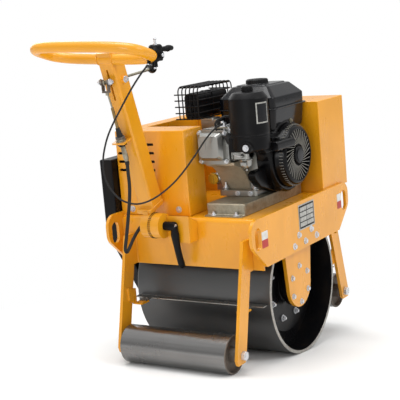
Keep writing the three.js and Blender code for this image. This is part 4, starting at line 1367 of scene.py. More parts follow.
    def housing(self) -> None:
        """Blower housing with its side wing, raised scroll, controls and screws."""
        cx, cz = self.crank
        left = -91
        outline = [(-30, 504), (86, 504), *arc((cx, cz), 118, -60, 30, 12), (132, 686), (left, 686),
                   (left, 640), (-70, 560)]
        skin = Shape().prism(outline, Axis.Y, (-198, -148.3))
        finish_piece("blower_housing_pressed", skin, Body.FRAME, Finish.BRIGHT_BLACK,
                     stands_for="blower_housing", slot="black_paint", bevel=9, segments=5)
        wing = [(-60, 584), (-130, 584), (-146, 576), (-140, 560), (-112, 533), (-40, 508), (0, 500),
                (30, 497), (30, 584)]
        shroud = Shape().prism(wing, Axis.Y, (-176, -150))
        finish_piece("blower_shroud", shroud, Body.FRAME, Finish.BRIGHT_BLACK, bevel=4, segments=3)
        scroll = Shape().lathe([(100, -150), (112, -150), (112, -192), (107, -200), (99, -200), (99, -190),
                                (100, -150)], (cx, 0, cz), segments=72)
        finish_piece("blower_scroll", scroll, Body.FRAME, Finish.BRIGHT_BLACK, bevel=1.5)
        bracket = Shape()
        bracket.prism([(-96, 640), (-40, 640), (-30, 668), (-30, 684), (-96, 684)], Axis.Y, (-204, -196))
        bracket.box((-92, -60), (-214, -200), (664, 676), 0)
        bracket.rod((-70, -214, 670), (-70, -224, 670), 7, 6, 20, 0)
        bracket.box((-46, -36), (-212, -200), (640, 662), 1)
        finish_piece("control_panel", bracket, Body.FRAME, Finish.PLASTIC, Finish.RED, bevel=1.5)
        screws = around((cx, -200, cz), 104, Axis.Y, (-65, 5, 75, 150))
        bolts("blower_screws", screws, Body.FRAME, "right", head=4.5, height=4, washer=7, thick=1,
              finish=Finish.DULL_ZINC)

    def recoil(self) -> None:
        """Recoil starter: ribbed dome round a blank badge, with its pull handle."""
        cx, cz = self.crank
        dome = Shape().lathe([(0, -200.3), (97, -200.3), (97, -205), (95, -209), (89, -229), (86, -232.5),
                              (80, -234.5), (77, -233), (76, -214), (30, -212), (28, -234), (25, -238),
                              (0, -238.6)], (cx, 0, cz), segments=96)
        finish_piece("recoil_dome", dome, Body.FRAME, Finish.BRIGHT_BLACK,
                     stands_for="recoil_starter", slot="black_plastic", bevel=0.8, smooth=40)
        vanes = PATTERNS.rings.grow("vanes", Shape(), Finish.BRIGHT_BLACK, Count=34, Radius=54.0,
                                    Size=(48.0, 1.5, 2.4), Swirl=(0.0, 0.0, 0.42), Centre=(cx, -232.4, cz))
        # The vanes and rim ribs take a pale grey painted highlight in place of sunlit edges on the black
        # plastic.
        finish_piece("recoil_vanes", vanes, Body.FRAME, Finish.VANE, bevel=0.5)
        slots = PATTERNS.rings.grow("slots", Shape(), Finish.PLASTIC, Count=60, Radius=91.6,
                                    Size=(3.4, 1.3, 14.0), Swirl=(0.0, 0.0, 0.0), Centre=(cx, -219.0, cz))
        finish_piece("recoil_rim_ribs", slots, Body.FRAME, Finish.VANE, bevel=0.4)
        badge = Shape().lathe([(0, -238), (20, -238), (20, -239.6), (18.6, -240), (0, -240)], (cx, 0, cz),
                              segments=48)
        finish_piece("blank_badge", badge, Body.FRAME, Finish.TANK, smooth=30)
        grip = Shape()
        x0, z0 = cx - 150, cz + 33
        ring = rounded((z0, z0 + 28), (-246, -220), 8, 5)
        full = [(y, z) for z, y in ring]
        slim = [(y * 0.985 - 3.5, z0 + 14 + (z - z0 - 14) * 0.8) for y, z in full]
        grip.loft([(slim, x0), (full, x0 + 4), (full, x0 + 104), (slim, x0 + 110)], Axis.X)
        grip.rod((x0 + 109, -233, z0 + 14), (x0 + 126, -233, z0 + 12), 7.5, 5)
        finish_piece("pull_handle", grip, Body.FRAME, Finish.BRIGHT_BLACK, bevel=0.8, smooth=45)
        screws = around((cx, -206, cz), 91, Axis.Y, map(math.degrees, (0.5, 2.6, 4.7)))
        bolts("recoil_screws", screws, Body.FRAME, "right", head=4, height=4, washer=6, thick=1)

    def tank(self) -> None:
        """Bevelled tank in two halves with a rolled seam, and its ribbed cap."""
        x, y = (-56, 157), (-203, -14)
        mid = (y[0] + y[1]) / 2

        def ring(inset: float, corner: float) -> list[Flat]:
            """The tank's outline, drawn in by a distance."""
            return rounded((x[0] + inset, x[1] - inset), (y[0] + inset, y[1] - inset), corner, 6)

        levels = ((10, 18, 686.3), (6, 18, 692), (0, 22, 748), (0, 22, 788), (31, 14, 821), (40, 12, 821),
                  (43, 11, 825))
        tank = Shape().loft([(ring(inset, corner), z) for inset, corner, z in levels], Axis.Z)
        tank.prism(ring(-8, 26), Axis.Z, (752.8, 757.2))
        tank.lathe([(0, 818), (38, 818), (38, 826), (36, 827), (0, 827)], (30, mid, 0), Axis.Z, 48)
        finish_piece("fuel_tank_pressed", tank, Body.FRAME, Finish.TANK, stands_for="fuel_tank",
                     slot="black_paint", bevel=2.2, segments=3, smooth=32)
        cap = Shape().lathe([(0, 814.4), (33, 814.4), (34, 815.5), (33.4, 826), (31, 828.6), (22, 829.2),
                             (20, 827.6), (0, 827.6)], (30, mid, 0), Axis.Z, 64)
        cap.box((8, 52), (mid - 3.4, mid + 3.4), (827, 829.3))
        rib_feet = around((30, mid, 815.5), 33.2, Axis.Z, turns(36))
        rib_tips = around((30, mid, 826), 32.6, Axis.Z, turns(36))
        for foot, tip in zip(rib_feet, rib_tips):
            cap.rod(foot, tip, 1.3, sides=6)
        cap.moved(Matrix.Translation((0, 0, 11)))
        finish_piece("fuel_cap_ribbed", cap, Body.FRAME, Finish.PLASTIC, stands_for="fuel_cap",
                     slot="black_plastic", bevel=0.4)

    def muffler(self) -> None:
        """Pressed muffler with seam, louvres and tailpipe, inside its wire guard."""
        body = Shape()
        y, z = (18, 66), (736.3, 815)
        for inset, x0, x1 in ((0, -114, 58), (-1.8, -30, -26)):
            ring = rounded((y[0] + inset, y[1] - inset), (z[0] + max(inset, 0), z[1] - inset), 14, 6)
            small = rounded((y[0] + 5, y[1] - 5), (z[0] + 5, z[1] - 5), 12, 6)
            rings = [(ring, x0), (ring, x1)]
            if inset == 0:
                rings = [(small, -116), *rings, (small, 60)]
            body.loft(rings, Axis.X)
        for i in range(5):
            body.box((-104 + i * 30, -90 + i * 30), (30, 54), (814, 816))
        body.rod((-116, 42, 772), (-122, 42, 772), 11, 11, 24)
        for at in (32, 44):
            body.box((-120, -114), (at, at + 8), (736.3, 746.3))
        finish_piece("muffler_pressed", body, Body.FRAME, Finish.BLACK, stands_for="muffler",
                     slot="black_paint", bevel=1)
        x0, x1, y0, y1, z0, z1 = -123, 78, 10, 95, 737, 836
        hoops = [[(x0, at, z0), (x0, at, z1), (x1, at, z1), (x1, at, z0)] for at in (12, 26, 40, 54, 67, 81)]
        rods = [[(x0, y1, at), (x0, y0, at), (x1, y0, at), (x1, y1, at)]
                for at in (739, 757, 776, 795, 813)]
        ties = [[(at, y0, z1 - 3.6), (at, 86, z1 - 3.6)] for at in (-104, -80, -56, -30, -4, 22, 46, 62)]
        wires("muffler_guard_wires", hoops + rods + ties, Body.FRAME, 2.0, 17.0, Finish.BLACK,
              stands_for="muffler_guard", slot="black_paint")

    def air_cleaner(self) -> None:
        """Canister with a parted rim, knob, foot and blank plate."""
        x, y = self.filter_at
        can = Shape().lathe([(0, 652), (50, 652), (54, 655), (56, 660), (56, 690), (57, 691.5), (57, 697),
                             (55.6, 698), (56.4, 700), (57, 704), (57, 799), (56, 803), (46, 816),
                             (43, 818), (20, 819.5), (0, 819.5)], (x, y, 0), Axis.Z, 72)
        can.lathe([(0, 818), (15, 818), (16, 820), (16, 833), (14, 836), (0, 836)], (x, y, 0), Axis.Z, 32)
        for px, py, _ in around((x, y, 0), 15.6, Axis.Z, turns(8)):
            can.rod((px, py, 821), (px, py, 832), 2, sides=8)
        finish_piece("air_cleaner_can", can, Body.FRAME, Finish.PLASTIC,
                     stands_for="air_cleaner", slot="black_plastic", bevel=0.8, smooth=28)
        foot = Shape()
        foot.prism(rounded((x + 6, x + 56), (y - 8, y + 30), 8), Axis.Z, (640, 664))
        foot.lathe([(0, 0), (15, 0), (17, 3), (17, 30), (0, 30)], self.filter_boss, Axis.X, 36)
        foot.prism([(-190, 648), (-150, 648), (-130, 690), (-190, 690)], Axis.Y, (-160, -124))
        foot.prism([(x - 30, 668), (x + 44, 668), (x + 40, 640), (x + 4, 640)], Axis.Y, (y - 46, y - 20))
        finish_piece("air_cleaner_foot", foot, Body.FRAME, Finish.PLASTIC, bevel=3, segments=3)
        bolts("air_cleaner_bolt", [self.filter_boss], Body.FRAME, "rear", head=6.5, height=5,
              washer=10, thick=1.4)
        plate = Shape()
        for mark, near, margin in ((0, 56.6, 0), (1, 57.0, 4)):
            start, end = -130 + margin, -86 - margin
            steps = (end - start) // 4
            inner = arc((x, y), near, start, end, steps)
            outer = arc((x, y), near + 1.3 - 0.1 * mark, end, start, steps)
            plate.prism(inner + outer, Axis.Z, (730 + margin, 790 - margin), mark)
        finish_piece("air_cleaner_plate", plate, Body.FRAME, Finish.SILVER, Finish.TANK)

    def carburettor(self) -> None:
        """Float-bowl carburettor, intake elbow, linkage and cable clamp."""
        carb = Shape()
        carb.prism(rounded((-164, -118), (-168, -116), 7), Axis.Z, (624, 646))
        carb.rod((-141, -168, 640), (-141, -114.5, 640), 17, 17, 28, 0)
        carb.prism(rounded((-166, -116), (622, 649), 6), Axis.Y, (-118, -114.4))
        carb.lathe([(0, 592), (7, 592), (8, 594), (13, 597), (17, 604), (19.5, 618), (21.5, 619), (21.5, 622),
                    (0, 624)], self.bowl, Axis.Z, 36, 0)
        carb.lathe([(0, 586), (4.5, 586), (5, 592), (0, 592)], self.bowl, Axis.Z, 6)
        carb.rod((-166, -150, 634), (-176, -150, 634), 6, 4, 16, 0)
        carb.box((-172, -160), (-164, -146), (606, 616), 0)
        finish_piece("carburettor_cast", carb, Body.FRAME, Finish.CAST,
                     stands_for="carburettor", slot="cast_alloy", bevel=0.9)
        elbow = Shape()
        path = [(-146, -150, 655), (-158, -140, 660), (-166, -128, 668), (-168, -116, 680), (-166, -106, 694)]
        elbow.tube(path, [15, 14.5, 14, 13, 11], 28)
        elbow.rod((-141, -150, 636), (-141, -150, 660), 17, 15, 28)
        finish_piece("intake_elbow", elbow, Body.FRAME, Finish.RUBBER, smooth=50)
        rods = [
            [(-176, -150, 634), (-178, -130, 640), (-170, -100, 700), (-168, -98, 716)],
            [(-166, -160, 652), (-172, -140, 690), (-170, -108, 726)],
            [(-120, -130, 716), (-150, -118, 722), (-172, -104, 722)],
        ]
        wires("governor_links", rods, Body.FRAME, 1.3, 6.0, Finish.ZINC)
        clamp = Shape()
        clamp.box((-184, -150), (-112, -94), (722, 725), 0)
        clamp.box((-156, -100), (-110, -96), (700, 725), 0)
        clamp.box((-180, -168), (-108, -96), (725, 734), 0)
        clamp.lathe([(0, 734), (5, 734), (5, 738), (0, 738)], (-176, -99, 0), Axis.Z, 6)
        clamp.prism(rounded((-168, -112), (-120, -60), 12), Axis.Z, (716, 718.5), 1)
        finish_piece("cable_clamp", clamp, Body.FRAME, Finish.ZINC, Finish.DULL_ZINC, bevel=0.5)
        spring = [(-150 + i * 0.9, -112 + 3.2 * math.cos(i * 0.9), 708 + 3.2 * math.sin(i * 0.9))
                  for i in range(50)]
        wires("governor_spring", [spring], Body.FRAME, 0.6, 0.0, Finish.ZINC, sides=6)
        plug = Shape()
        lead = [(-160, -70, 716), (-172, -72, 728), (-166, -80, 742), (-140, -100, 748), (-110, -130, 730)]
        plug.tube(smooth_path(lead, 6), 3.4, 12)
        plug.rod((-152, -69, 700), (-162, -70, 720), 8, 6.5, 20)
        finish_piece("plug_lead", plug, Body.FRAME, Finish.RUBBER, smooth=50)

    def build(self) -> None:
        """Makes every piece."""
        self.mount()
        self.block()
        self.valve_cover()
        self.housing()
        self.recoil()
        self.tank()
        self.muffler()
        self.air_cleaner()
        self.carburettor()


# ---------------------------------------------------------------- handle


@dataclass
class Handle:
    """Tilting handle: clamped hubs, slotted column, hand loop and controls."""

    pivot: Flat = (-305.0, 450.0)
    hub_radius: float = 37.0
    side: float = 109.0
    width: float = 50.0
    depth: float = 57.0
    length: float = 485.0
    tilt: float = 16.6
    foot: Flat = (-304.2, 502.0)

    @property
    def column(self) -> Matrix:
        """From the column's own directions: X 0 on its rear face, Z 0 at its foot."""
        turn = Matrix.Rotation(math.radians(-self.tilt), 4, "Y")
        return Matrix.Translation((self.foot[0], 0, self.foot[1])) @ turn

    def beside(self, behind: float, y: float, up: float) -> Vector:
        """A point behind the column's rear face, at a height along it."""
        return self.column @ Vector((-behind, y, up))

    def clamp(self) -> None:
        """Bracket, hubs with their serrated rims, and the clamp lever."""
        x, z = self.pivot
        finish_node("handle_bracket", "painted", Finish.YELLOW_WORN, "yellow_paint", 2, 3)
        for name, body, y in (("fixed", Body.FRAME, 76.9), ("moving", Body.HANDLE, 82.8)):
            teeth = PATTERNS.rings.grow("teeth", Shape(), Finish.BLACK, Count=40, Radius=self.hub_radius,
                                        Size=(2.6, 2.4, 3.4), Swirl=(0.0, 0.0, 0.0), Centre=(x, y, z))
            finish_piece(name + "_hub_teeth", teeth, body, Finish.BLACK, bevel=0.5)
        lever = Shape().lathe([(0, 10), (6, 9), (11.5, 10), (13, 13), (13, 46.7), (0, 46.7)], (x, 0, z),
                              Axis.Y, 40, 0)
        spine = [(0, 0, 11.5), (1, -26, 9.6), (6, -60, 8.6), (14, -95, 9.4), (21, -116, 10.6),
                 (25, -126, 9.0), (27, -131, 4.0)]
        path = [(x + dx, 14.7, z + dz) for dx, dz, _ in spine]
        lever.tube(smooth_path(path, 5), spread([r for *_, r in spine], 5), 20)
        for v in lever.verts:
            drop = z - 14 - v.z
            if drop > 0:
                v.y = 14.7 + (v.y - 14.7) * (1 + min(0.45, drop * 0.05) - drop * 0.0045)
        lever.lathe([(0, 8.2), (6, 8.2), (7, 9), (7, 11), (0, 11)], (x, 0, z), Axis.Y, 6, 1)
        finish_piece("clamp_lever_cast", lever, Body.FRAME, Finish.PLASTIC, Finish.ZINC,
                     stands_for="clamp_lever", slot="black_plastic", smooth=50)

    def column_tube(self) -> None:
        """Round-cornered tube with its slot, foot plate, hub and pivot bolt."""
        x, z = self.pivot
        y0, y1 = self.side - self.width / 2, self.side + self.width / 2
        bar = Shape().prism(rounded((0, self.depth), (y0, y1), 6.5, 6), Axis.Z, (-1, self.length - 1.5))
        bar.prism(rounded((1.5, self.depth - 1.5), (y0 + 1.5, y1 - 1.5), 5, 6), Axis.Z,
                  (self.length - 4, self.length))
        tube = bar.moved(self.column).to_object("tube")
        for (low, high), reach in (((342, 435), (-5, 26)), ((375, 432), (30, 62))):
            slot = rounded((self.side - 3.2, self.side + 3.2), (low, high), 3.1, 6)
            cutter = Shape().loft([([(v, u) for v, u in slot], at) for at in reach], Axis.X)
            carved(tube, cutter.moved(self.column))
        finish_piece("handle_column_tube", tube, Body.HANDLE, Finish.YELLOW,
                     stands_for="handle_column", slot="yellow_paint", smooth=40)
        foot = Shape().prism(rounded((-16, 59), (y0, y1), 5, 5), Axis.Z, (-14, 0)).moved(self.column)
        foot.prism([(x - 14, z), (x + 30, z), (x + 26, z + 46), (x - 16, z + 44)], Axis.Y, (93, 112))
        finish_piece("handle_foot", foot, Body.HANDLE, Finish.YELLOW_WORN, bevel=2, segments=3)
        hub = Shape().lathe([(0, 80), (34, 80), (37, 81.5), (37, 110.5), (35.5, 112), (14, 112), (14, 110),
                             (0, 110)], (x, 0, z), segments=64)
        finish_piece("moving_hub", hub, Body.HANDLE, Finish.YELLOW_WORN, smooth=35)
        bolts("hub_nut", [(x, 110, z)], Body.HANDLE, "left", head=12, height=9, washer=17, thick=2.5,
              stud=5)
        ring = [self.column @ Vector((u, v, -0.5)) for u, v in rounded((0, self.depth), (y0, y1), 6.5, 4)]
        welds("column_welds", [[*ring, ring[0]]], Body.HANDLE, 2.3)
        bolt = self.beside(-30, y0, 394)
        boss = Shape().rod(bolt, bolt - Vector((0, 7, 0)), 11, 9.5, 32, 0)
        finish_piece("lever_boss", boss, Body.HANDLE, Finish.YELLOW, smooth=35)
        bolts("lever_bolt", [bolt - Vector((0, 6.5, 0))], Body.HANDLE, "right", head=7.2, height=6,
              washer=10, thick=1.6)
        bolts("lever_nut", [self.beside(-30, y1, 394)], Body.HANDLE, "left", head=7, height=6,
              washer=10, thick=1.6, stud=4)

    def loop(self) -> None:
        """Hand loop bent from one tube, welded where it passes through the column."""
        pitch = Matrix.Rotation(0.304, 4, "Y") @ Matrix.Rotation(0.05, 4, "X")
        middle = Matrix.Translation((-496, 99, 970)) @ pitch

        def bulge(value: float) -> float:
            """Squares a round."""
            return math.copysign(abs(value) ** 0.61, value)

        def at(share: float) -> Vector:
            """A point on the loop's middle line."""
            angle = 2 * math.pi * share
            return middle @ Vector((74 * bulge(math.cos(angle)), 178 * bulge(math.sin(angle)), 0))

        fine = [at(i / 720) for i in range(720)]
        line = evenly(fine, 120)
        wires("hand_loop_bent", [line], Body.HANDLE, 15.0, 0.0, Finish.LOOP, closed=True, sides=32,
              stands_for="handle_loop", slot="yellow_paint")
        beads = []
        for y in (self.side - self.width / 2, self.side + self.width / 2):
            near = min(fine[:90] + fine[-90:], key=lambda p: abs(p.y - y))
            beads.append(around(near, 15.5, Axis.Y, [*turns(24), 360]))
        welds("loop_welds", beads, Body.HANDLE, 2.2)

    def travel_lever(self) -> None:
        """Lever through the slot, from its fork at the rear to its ball at the front."""
        bolt = self.beside(-30, self.side, 394)
        ball = Vector((-207, self.side, 902))
        fork = Vector((-440, self.side, 886))
        lever = Shape()
        lever.rod(bolt + Vector((0, -3, 0)), bolt + Vector((0, 3, 0)), 11, 11, 28, 0)
        lever.rod(bolt, bolt + (ball - bolt) * 0.93, 4.0, 4.0, 16, 0)
        lever.loft([(rounded((self.side - 2.6, self.side + 2.6), (883 - 5, 883 + 8), 2), -449),
                    (rounded((self.side - 2.6, self.side + 2.6), (bolt.z - 7, bolt.z + 7), 2), bolt.x)],
                   Axis.X, 0)
        direction = (ball - bolt).normalized()
        collar = ball - direction * 17
        lever.rod(collar, collar + direction * 6, 6.5, 8, 24, 1)
        sphere = arc((0, 0), 14, -90, 90, 20)
        lever.lathe([(0, -14), *sphere[1:-1], (0, 14)], ball, Axis.Y, 40, 1)
        finish_piece("travel_lever_rod", lever, Body.HANDLE, Finish.DULL_ZINC, Finish.BRIGHT_BLACK,
                     stands_for="travel_lever", slot="zinc", smooth=45)
        for name, y, facing in (("left", 124, "left"), ("right", 94, "right")):
            bolts("clevis_bolt_" + name, [(fork.x, y, fork.z)], Body.HANDLE, facing, head=7.5, height=6,
                  washer=9.5, thick=1.6, stud=3)

    def control_rod(self) -> None:
        """Clevis, thin rod, brass tube, boot, nuts and threaded sleeve on one line."""
        axis = self.column @ Matrix.Translation((-25, self.side, 0))
        fork = Vector((-440, self.side, 886))
        start = fork + (axis @ Vector((0, 0, 268)) - fork).normalized() * 14
        rod = Shape()
        for y in (98, 117):
            leg = rounded((fork.x - 6.5, fork.x + 6.5), (fork.z - 26, fork.z + 7), 5)
            rod.prism(leg, Axis.Y, (y, y + 3))
        rod.box((fork.x - 6, fork.x + 6), (98, 120), (fork.z - 30, fork.z - 25), 0)
        rod.rod(fork + Vector((0, 16, 0)), fork - Vector((0, 16, 0)), 4.6, 4.6, 20, 1)
        top = axis @ Vector((0, 0, 268))
        middle = start + (top - start) * 0.5
        rod.rod(start - Vector((0, 0, 14)), middle, 2.6, 2.6, 14, 1)
        rod.rod(start - Vector((0, 0, 14)), start - Vector((0, 0, 24)), 5.4, 5.4, 6, 1)
        rod.rod(middle, top, 4.4, 4.4, 18, 2)
        finish_piece("control_rod_link", rod, Body.HANDLE,
                     Finish.RUSTY, Finish.DULL_ZINC, Finish.BRASS, stands_for="control_rod",
                     slot="zinc", bevel=0.5)
        end = Shape()
        boot = [(0, 270), (5.4, 270), (6.4, 268), (6.2, 264), (7.2, 262), (7.0, 258), (8.1, 256), (7.9, 252),
                (8.9, 250), (8.9, 243), (0, 243)]
        end.lathe(boot, (0, 0, 0), Axis.Z, 28)
        end.lathe([(0, 236), (13.6, 236), (13.6, 242.6), (12.6, 243.4), (0, 243.4)], (0, 0, 0), Axis.Z, 6, 1)
        end.lathe([(0, 229.2), (15.5, 229.2), (15.5, 231.6), (0, 231.6)], (0, 0, 0), Axis.Z, 32, 2)
        end.lathe([(0, 231.6), (12.8, 231.6), (12.8, 236.4), (0, 236.4)], (0, 0, 0), Axis.Z, 6, 2)
        end.lathe([(0, 215.5), (13.6, 215.5), (13.6, 223.6), (0, 223.6)], (0, 0, 0), Axis.Z, 6, 3)
        thread = [(0.0, 223.6)]
        for i in range(12):
            at = 215 - i * 2.2
            thread += [(7.4, at), (6.6, at - 1.1)]
        thread += [(7.8, 187), (7.8, 176), (6.4, 168), (5.6, 166.4), (0.0, 166.4)]
        end.lathe(thread, (0, 0, 0), Axis.Z, 28, 2)
        end.moved(axis)
        finish_piece("cable_end", end, Body.HANDLE,
                     Finish.RUBBER, Finish.RUSTY, Finish.DULL_ZINC, Finish.BLACK, smooth=35)
        finish_node("cable_bracket", "welded", Finish.YELLOW_WORN, "yellow_paint", 1.4, 3, body=Body.HANDLE)

    def throttle(self) -> None:
        """Clamp on the loop's corner, thumb lever, screws and cable outlet."""
        body = Shape()
        body.loft([(rounded((-471, -434), (-89, -59), 8), 937), (rounded((-473, -431), (-91, -57), 9), 946),
                   (rounded((-473, -431), (-91, -57), 9), 966), (rounded((-468, -436), (-87, -61), 8), 974)],
                  Axis.Z, 0)
        body.lathe([(0, 966), (17, 966), (18, 968), (18, 977), (14, 981), (0, 981)], (-449, -75, 0), Axis.Z,
                   36, 0)
        body.rod((-449, -75, 979), (-449, -75, 984), 6.5, 6.5, 6, 1)
        body.rod((-449, -75, 984), (-449, -75, 994), 3, 3, 16, 1)
        body.rod((-449, -75, 994), (-449, -75, 998), 5, 4, 20, 1)
        body.rod((-449, -96, 952), (-449, -56, 952), 9, 9, 24, 0)
        body.rod((-449, -99, 952), (-449, -95, 952), 5, 5, 6, 1)
        body.rod((-462, -78, 938), (-462, -78, 922), 7, 8, 20, 0)
        body.rod((-462, -78, 922), (-462, -78, 917), 4, 4, 16, 1)
        body.rod((-449, -75, 979), (-449, -75, 982), 9, 9, 28, 1)
        thumb = smooth_path([(-447, -78, 976), (-432, -85, 968), (-417, -89, 967), (-404, -90, 968),
                             (-392, -89, 967)], 6)
        count = len(thumb)
        body.tube(thumb, [5 + 2.6 * math.sin(math.pi * i / (count - 1)) ** 2 + (1.5 if i > count // 2 else 0)
                          for i in range(count)], 16)
        body.rod((-470, -70, 945), (-477.4, -67.2, 931.4), 6.2, 4.6, 20, 0)
        body.rod((-477.2, -67.4, 933), (-477.8, -66.8, 929.6), 3.6, 3.2, 16, 1)
        finish_piece("throttle_body", body, Body.HANDLE, Finish.PLASTIC, Finish.ZINC,
                     stands_for="throttle_lever", slot="black_plastic", bevel=0.7, smooth=40)
        strap = Shape().lathe([(15.6, -11), (18.2, -10.4), (18.2, 10.4), (15.6, 11), (15.6, -11)], (0, 0, 0),
                              Axis.Y, 40)
        strap.moved(Matrix.Translation((-452, -66, 950)) @ Matrix.Rotation(math.radians(-12), 4, "X"))
        finish_piece("throttle_strap", strap, Body.HANDLE, Finish.PLASTIC, smooth=35)
        bolts("throttle_screws", [(-474, -84, 957), (-474, -64, 957)], Body.HANDLE, "rear", head=3.4,
              height=3, washer=4.6, thick=0.8)

    def build(self) -> None:
        """Makes every piece."""
        self.clamp()
        self.column_tube()
        self.loop()
        self.travel_lever()
        self.control_rod()
        self.throttle()


# ---------------------------------------------------------------- cables


@dataclass
class Cable:
    """A control cable held at both ends, one on the frame and one on the handle."""

    name: str
    route: Sequence[Point]
    radius: float

    def build(self) -> None:
        """Makes the jacket with its end ferrules along a curved route between the two bodies."""
        path = smooth_path(self.route, 8)
        jacket = Shape().tube(path, self.radius, 14)
        for tip, back in ((path[0], path[3]), (path[-1], path[-4])):
            away = (back - tip).normalized()
            jacket.rod(tip + away * 0.3, tip + away * 11, self.radius * 1.3, self.radius * 1.2, 18)
        made = jacket.to_object(self.name + "_jacket")
        made.data.transform(MACHINE.to_world)
        made.data.materials.clear()
        made.data.materials.append(Finish.RUBBER.built)
        made.data.shade_smooth()
        made.data.set_sharp_from_angle(angle=math.radians(45))
        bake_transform(made)
        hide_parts(self.name)
        log.info("%s: %d faces", made.name, len(made.data.polygons))


TRAVEL_ROUTE = [
    (-375.3, 109, 653.2), (-374, 110, 618), (-371, 112, 578), (-373, 116, 535), (-380, 122, 483),
    (-388, 128, 432), (-394, 132, 398), (-385, 134, 386), (-370, 135, 394), (-342, 136, 418),
    (-312, 138, 436), (-284, 141, 446), (-262, 142, 449), (-247.1, 142, 450),
]
THROTTLE_ROUTE = [
    (-477.8, -66.8, 930.2), (-473, -40, 909), (-469, -8, 878), (-462, 25, 844), (-458, 55, 809),
    (-456, 88, 767), (-454, 112, 730), (-454, 128, 691), (-452, 136, 662), (-448, 140, 632),
    (-443, 136, 601), (-438, 121, 573), (-432, 98, 550), (-412, 70, 536), (-383, 48, 537),
    (-346, 28, 550), (-305, 8, 574), (-270, -10, 604), (-236, -32, 645), (-208, -60, 693),
    (-192, -84, 720), (-176, -104, 732),
]


# ---------------------------------------------------------------- studio


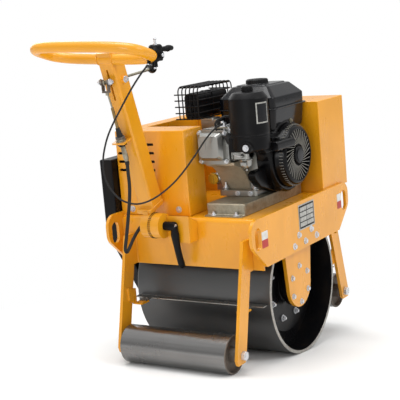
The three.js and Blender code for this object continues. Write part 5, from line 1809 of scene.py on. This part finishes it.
@dataclass
class Studio:
    """Pale floor, soft lamps and the camera; lamps and floor are in metres."""

    stand: Point = (-2831.12, -1707.5, 1070.87)
    yaw: float = 57.244
    pitch: float = -10.205
    roll: float = -4.9
    lens: float = 96.54
    aim: Point = (0.0, 0.0, 0.45)
    floor_half: float = 30.0
    floor_fade: Span = (0.5, 1.15)

    def camera(self) -> None:
        """Camera, placed in the level machine's frame."""
        yaw, pitch, roll = (math.radians(angle) for angle in (self.yaw, self.pitch, self.roll))
        ahead = Vector((math.sin(yaw) * math.cos(pitch), math.cos(yaw) * math.cos(pitch), math.sin(pitch)))
        right = ahead.cross(Vector((0, 0, 1))).normalized()
        up = right.cross(ahead)
        across = right * math.cos(roll) + up * math.sin(roll)
        over = up * math.cos(roll) - right * math.sin(roll)
        turn = Matrix([MACHINE.direction(v) for v in (across, over, -ahead)]).transposed()
        data = bpy.data.cameras.new("camera")
        data.lens = self.lens
        data.sensor_width = 36
        data.clip_end = 60
        camera = bpy.data.objects.new("camera", data)
        camera.matrix_world = Matrix.Translation(MACHINE.point(*self.stand)) @ turn.to_4x4()
        bpy.context.scene.collection.objects.link(camera)
        bpy.context.scene.camera = camera

    def floor(self) -> None:
        """Plain floor that turns white away from the machine and keeps its shadow."""
        half = self.floor_half
        mesh = bpy.data.meshes.new("floor")
        mesh.from_pydata([(-half, -half, 0), (half, -half, 0), (half, half, 0), (-half, half, 0)], [],
                         [(0, 1, 2, 3)])
        floor = link("floor", mesh)
        nodes = Nodes("floor_paint")
        nodes.fixed(Roughness=0.75)
        nodes.feed(nodes.shader.inputs["Base Color"], (0.86, 0.86, 0.85, 1))
        white = nodes.node("ShaderNodeEmission", {"Color": (1, 1, 1, 1), "Strength": 1.0})
        distance = nodes.node("ShaderNodeVectorMath", {0: nodes.place}, operation="LENGTH")
        far = nodes.level(distance.outputs["Value"], self.floor_fade, (0.0, 1.0))
        rays = nodes.node("ShaderNodeLightPath").outputs
        seen = nodes.math("MAXIMUM", rays["Is Camera Ray"], rays["Is Glossy Ray"])
        mix = nodes.node("ShaderNodeMixShader", {"Fac": nodes.math("MULTIPLY", far, seen),
                                                 1: nodes.shader.outputs["BSDF"],
                                                 2: white.outputs["Emission"]})
        nodes.feed(nodes.tree.nodes["Material Output"].inputs["Surface"], mix.outputs["Shader"])
        mesh.materials.append(nodes.material)

    def world(self) -> None:
        """White to the camera and in reflections, softer as light."""
        world = bpy.data.worlds.new("studio")
        world.use_nodes = True
        tree = Tree(world.node_tree)
        rays = tree.node("ShaderNodeLightPath").outputs
        through = tree.math("MAXIMUM", rays["Is Camera Ray"], rays["Is Transmission Ray"])
        place = tree.node("ShaderNodeTexCoord").outputs["Generated"]
        height = tree.node("ShaderNodeSeparateXYZ", {"Vector": place}).outputs["Z"]

        def by_height(low: float, high: float) -> bpy.types.NodeSocket:
            """A strength that grows from the horizon to the ceiling."""
            return tree.level(height, (-0.1, 0.75), (low, high))

        def either(ray: bpy.types.NodeSocket, rest: object, hit: object) -> bpy.types.NodeSocket:
            """One strength for a kind of ray and another for the rest."""
            return tree.node("ShaderNodeMix", {"Factor": ray, 2: rest, 3: hit}).outputs[0]

        lit = either(rays["Is Glossy Ray"], by_height(0.35, 0.8), by_height(0.3, 1.0))
        sky = tree.tree.nodes["Background"]
        tree.feed(sky.inputs["Strength"], either(through, lit, 1.0))
        tree.feed(sky.inputs["Color"], (1, 1, 1, 1))
        bpy.context.scene.world = world

    def lamp(self, name: str, place: Point, size: float, power: float) -> None:
        """One soft square lamp that faces the machine."""
        data = bpy.data.lights.new(name, "AREA")
        data.shape = "SQUARE"
        data.size = size
        data.energy = power
        lamp = bpy.data.objects.new(name, data)
        lamp.location = place
        lamp.rotation_mode = "QUATERNION"
        lamp.rotation_quaternion = (Vector(self.aim) - Vector(place)).to_track_quat("-Z", "Y")
        bpy.context.scene.collection.objects.link(lamp)

    def build(self) -> None:
        """Makes camera, floor, world and lamps."""
        self.camera()
        self.floor()
        self.world()
        self.lamp("key", (0.2, -3.4, 3.0), 1.6, 47)
        self.lamp("fill", (-3.3, -0.9, 0.9), 1.3, 21)
        self.lamp("top", (-0.5, 0.2, 4.0), 2.4, 105)
        self.lamp("back", (1.8, 3.2, 2.4), 2.0, 34)
        bpy.context.scene.view_settings.view_transform = "Standard"


def dress_left_over() -> None:
    """Gives every CAD node that still shows a finish from its material slot."""
    finishes = {"yellow_paint": Finish.YELLOW, "black_paint": Finish.BLACK,
                "black_plastic": Finish.PLASTIC, "drum_steel": Finish.DRUM, "zinc": Finish.ZINC,
                "cast_alloy": Finish.CAST, "rubber": Finish.RUBBER}
    for name, made in frame["nodes"].items():
        if made.hide_render:
            continue
        for place in made.material_slots:
            slot = place.material.name.split(".")[0] if place.material else "black_paint"
            place.material = finishes.get(slot, Finish.BLACK).built
        log.info("%s: CAD node kept", name)


def main() -> None:
    """Builds the studio, then the machine from the ground up."""
    logging.basicConfig(level=logging.INFO, format="%(name)s %(message)s")
    Studio().build()
    assemblies = [Drum(), Roller(Body.REAR, -1), Roller(Body.FRONT, 1), Chassis(), Covers(), Engine(),
                  Handle(), Cable("travel_cable", TRAVEL_ROUTE, 5.0),
                  Cable("throttle_cable", THROTTLE_ROUTE, 2.6)]
    for assembly in assemblies:
        assembly.build()
    dress_left_over()


if __name__ == "__main__":
    main()
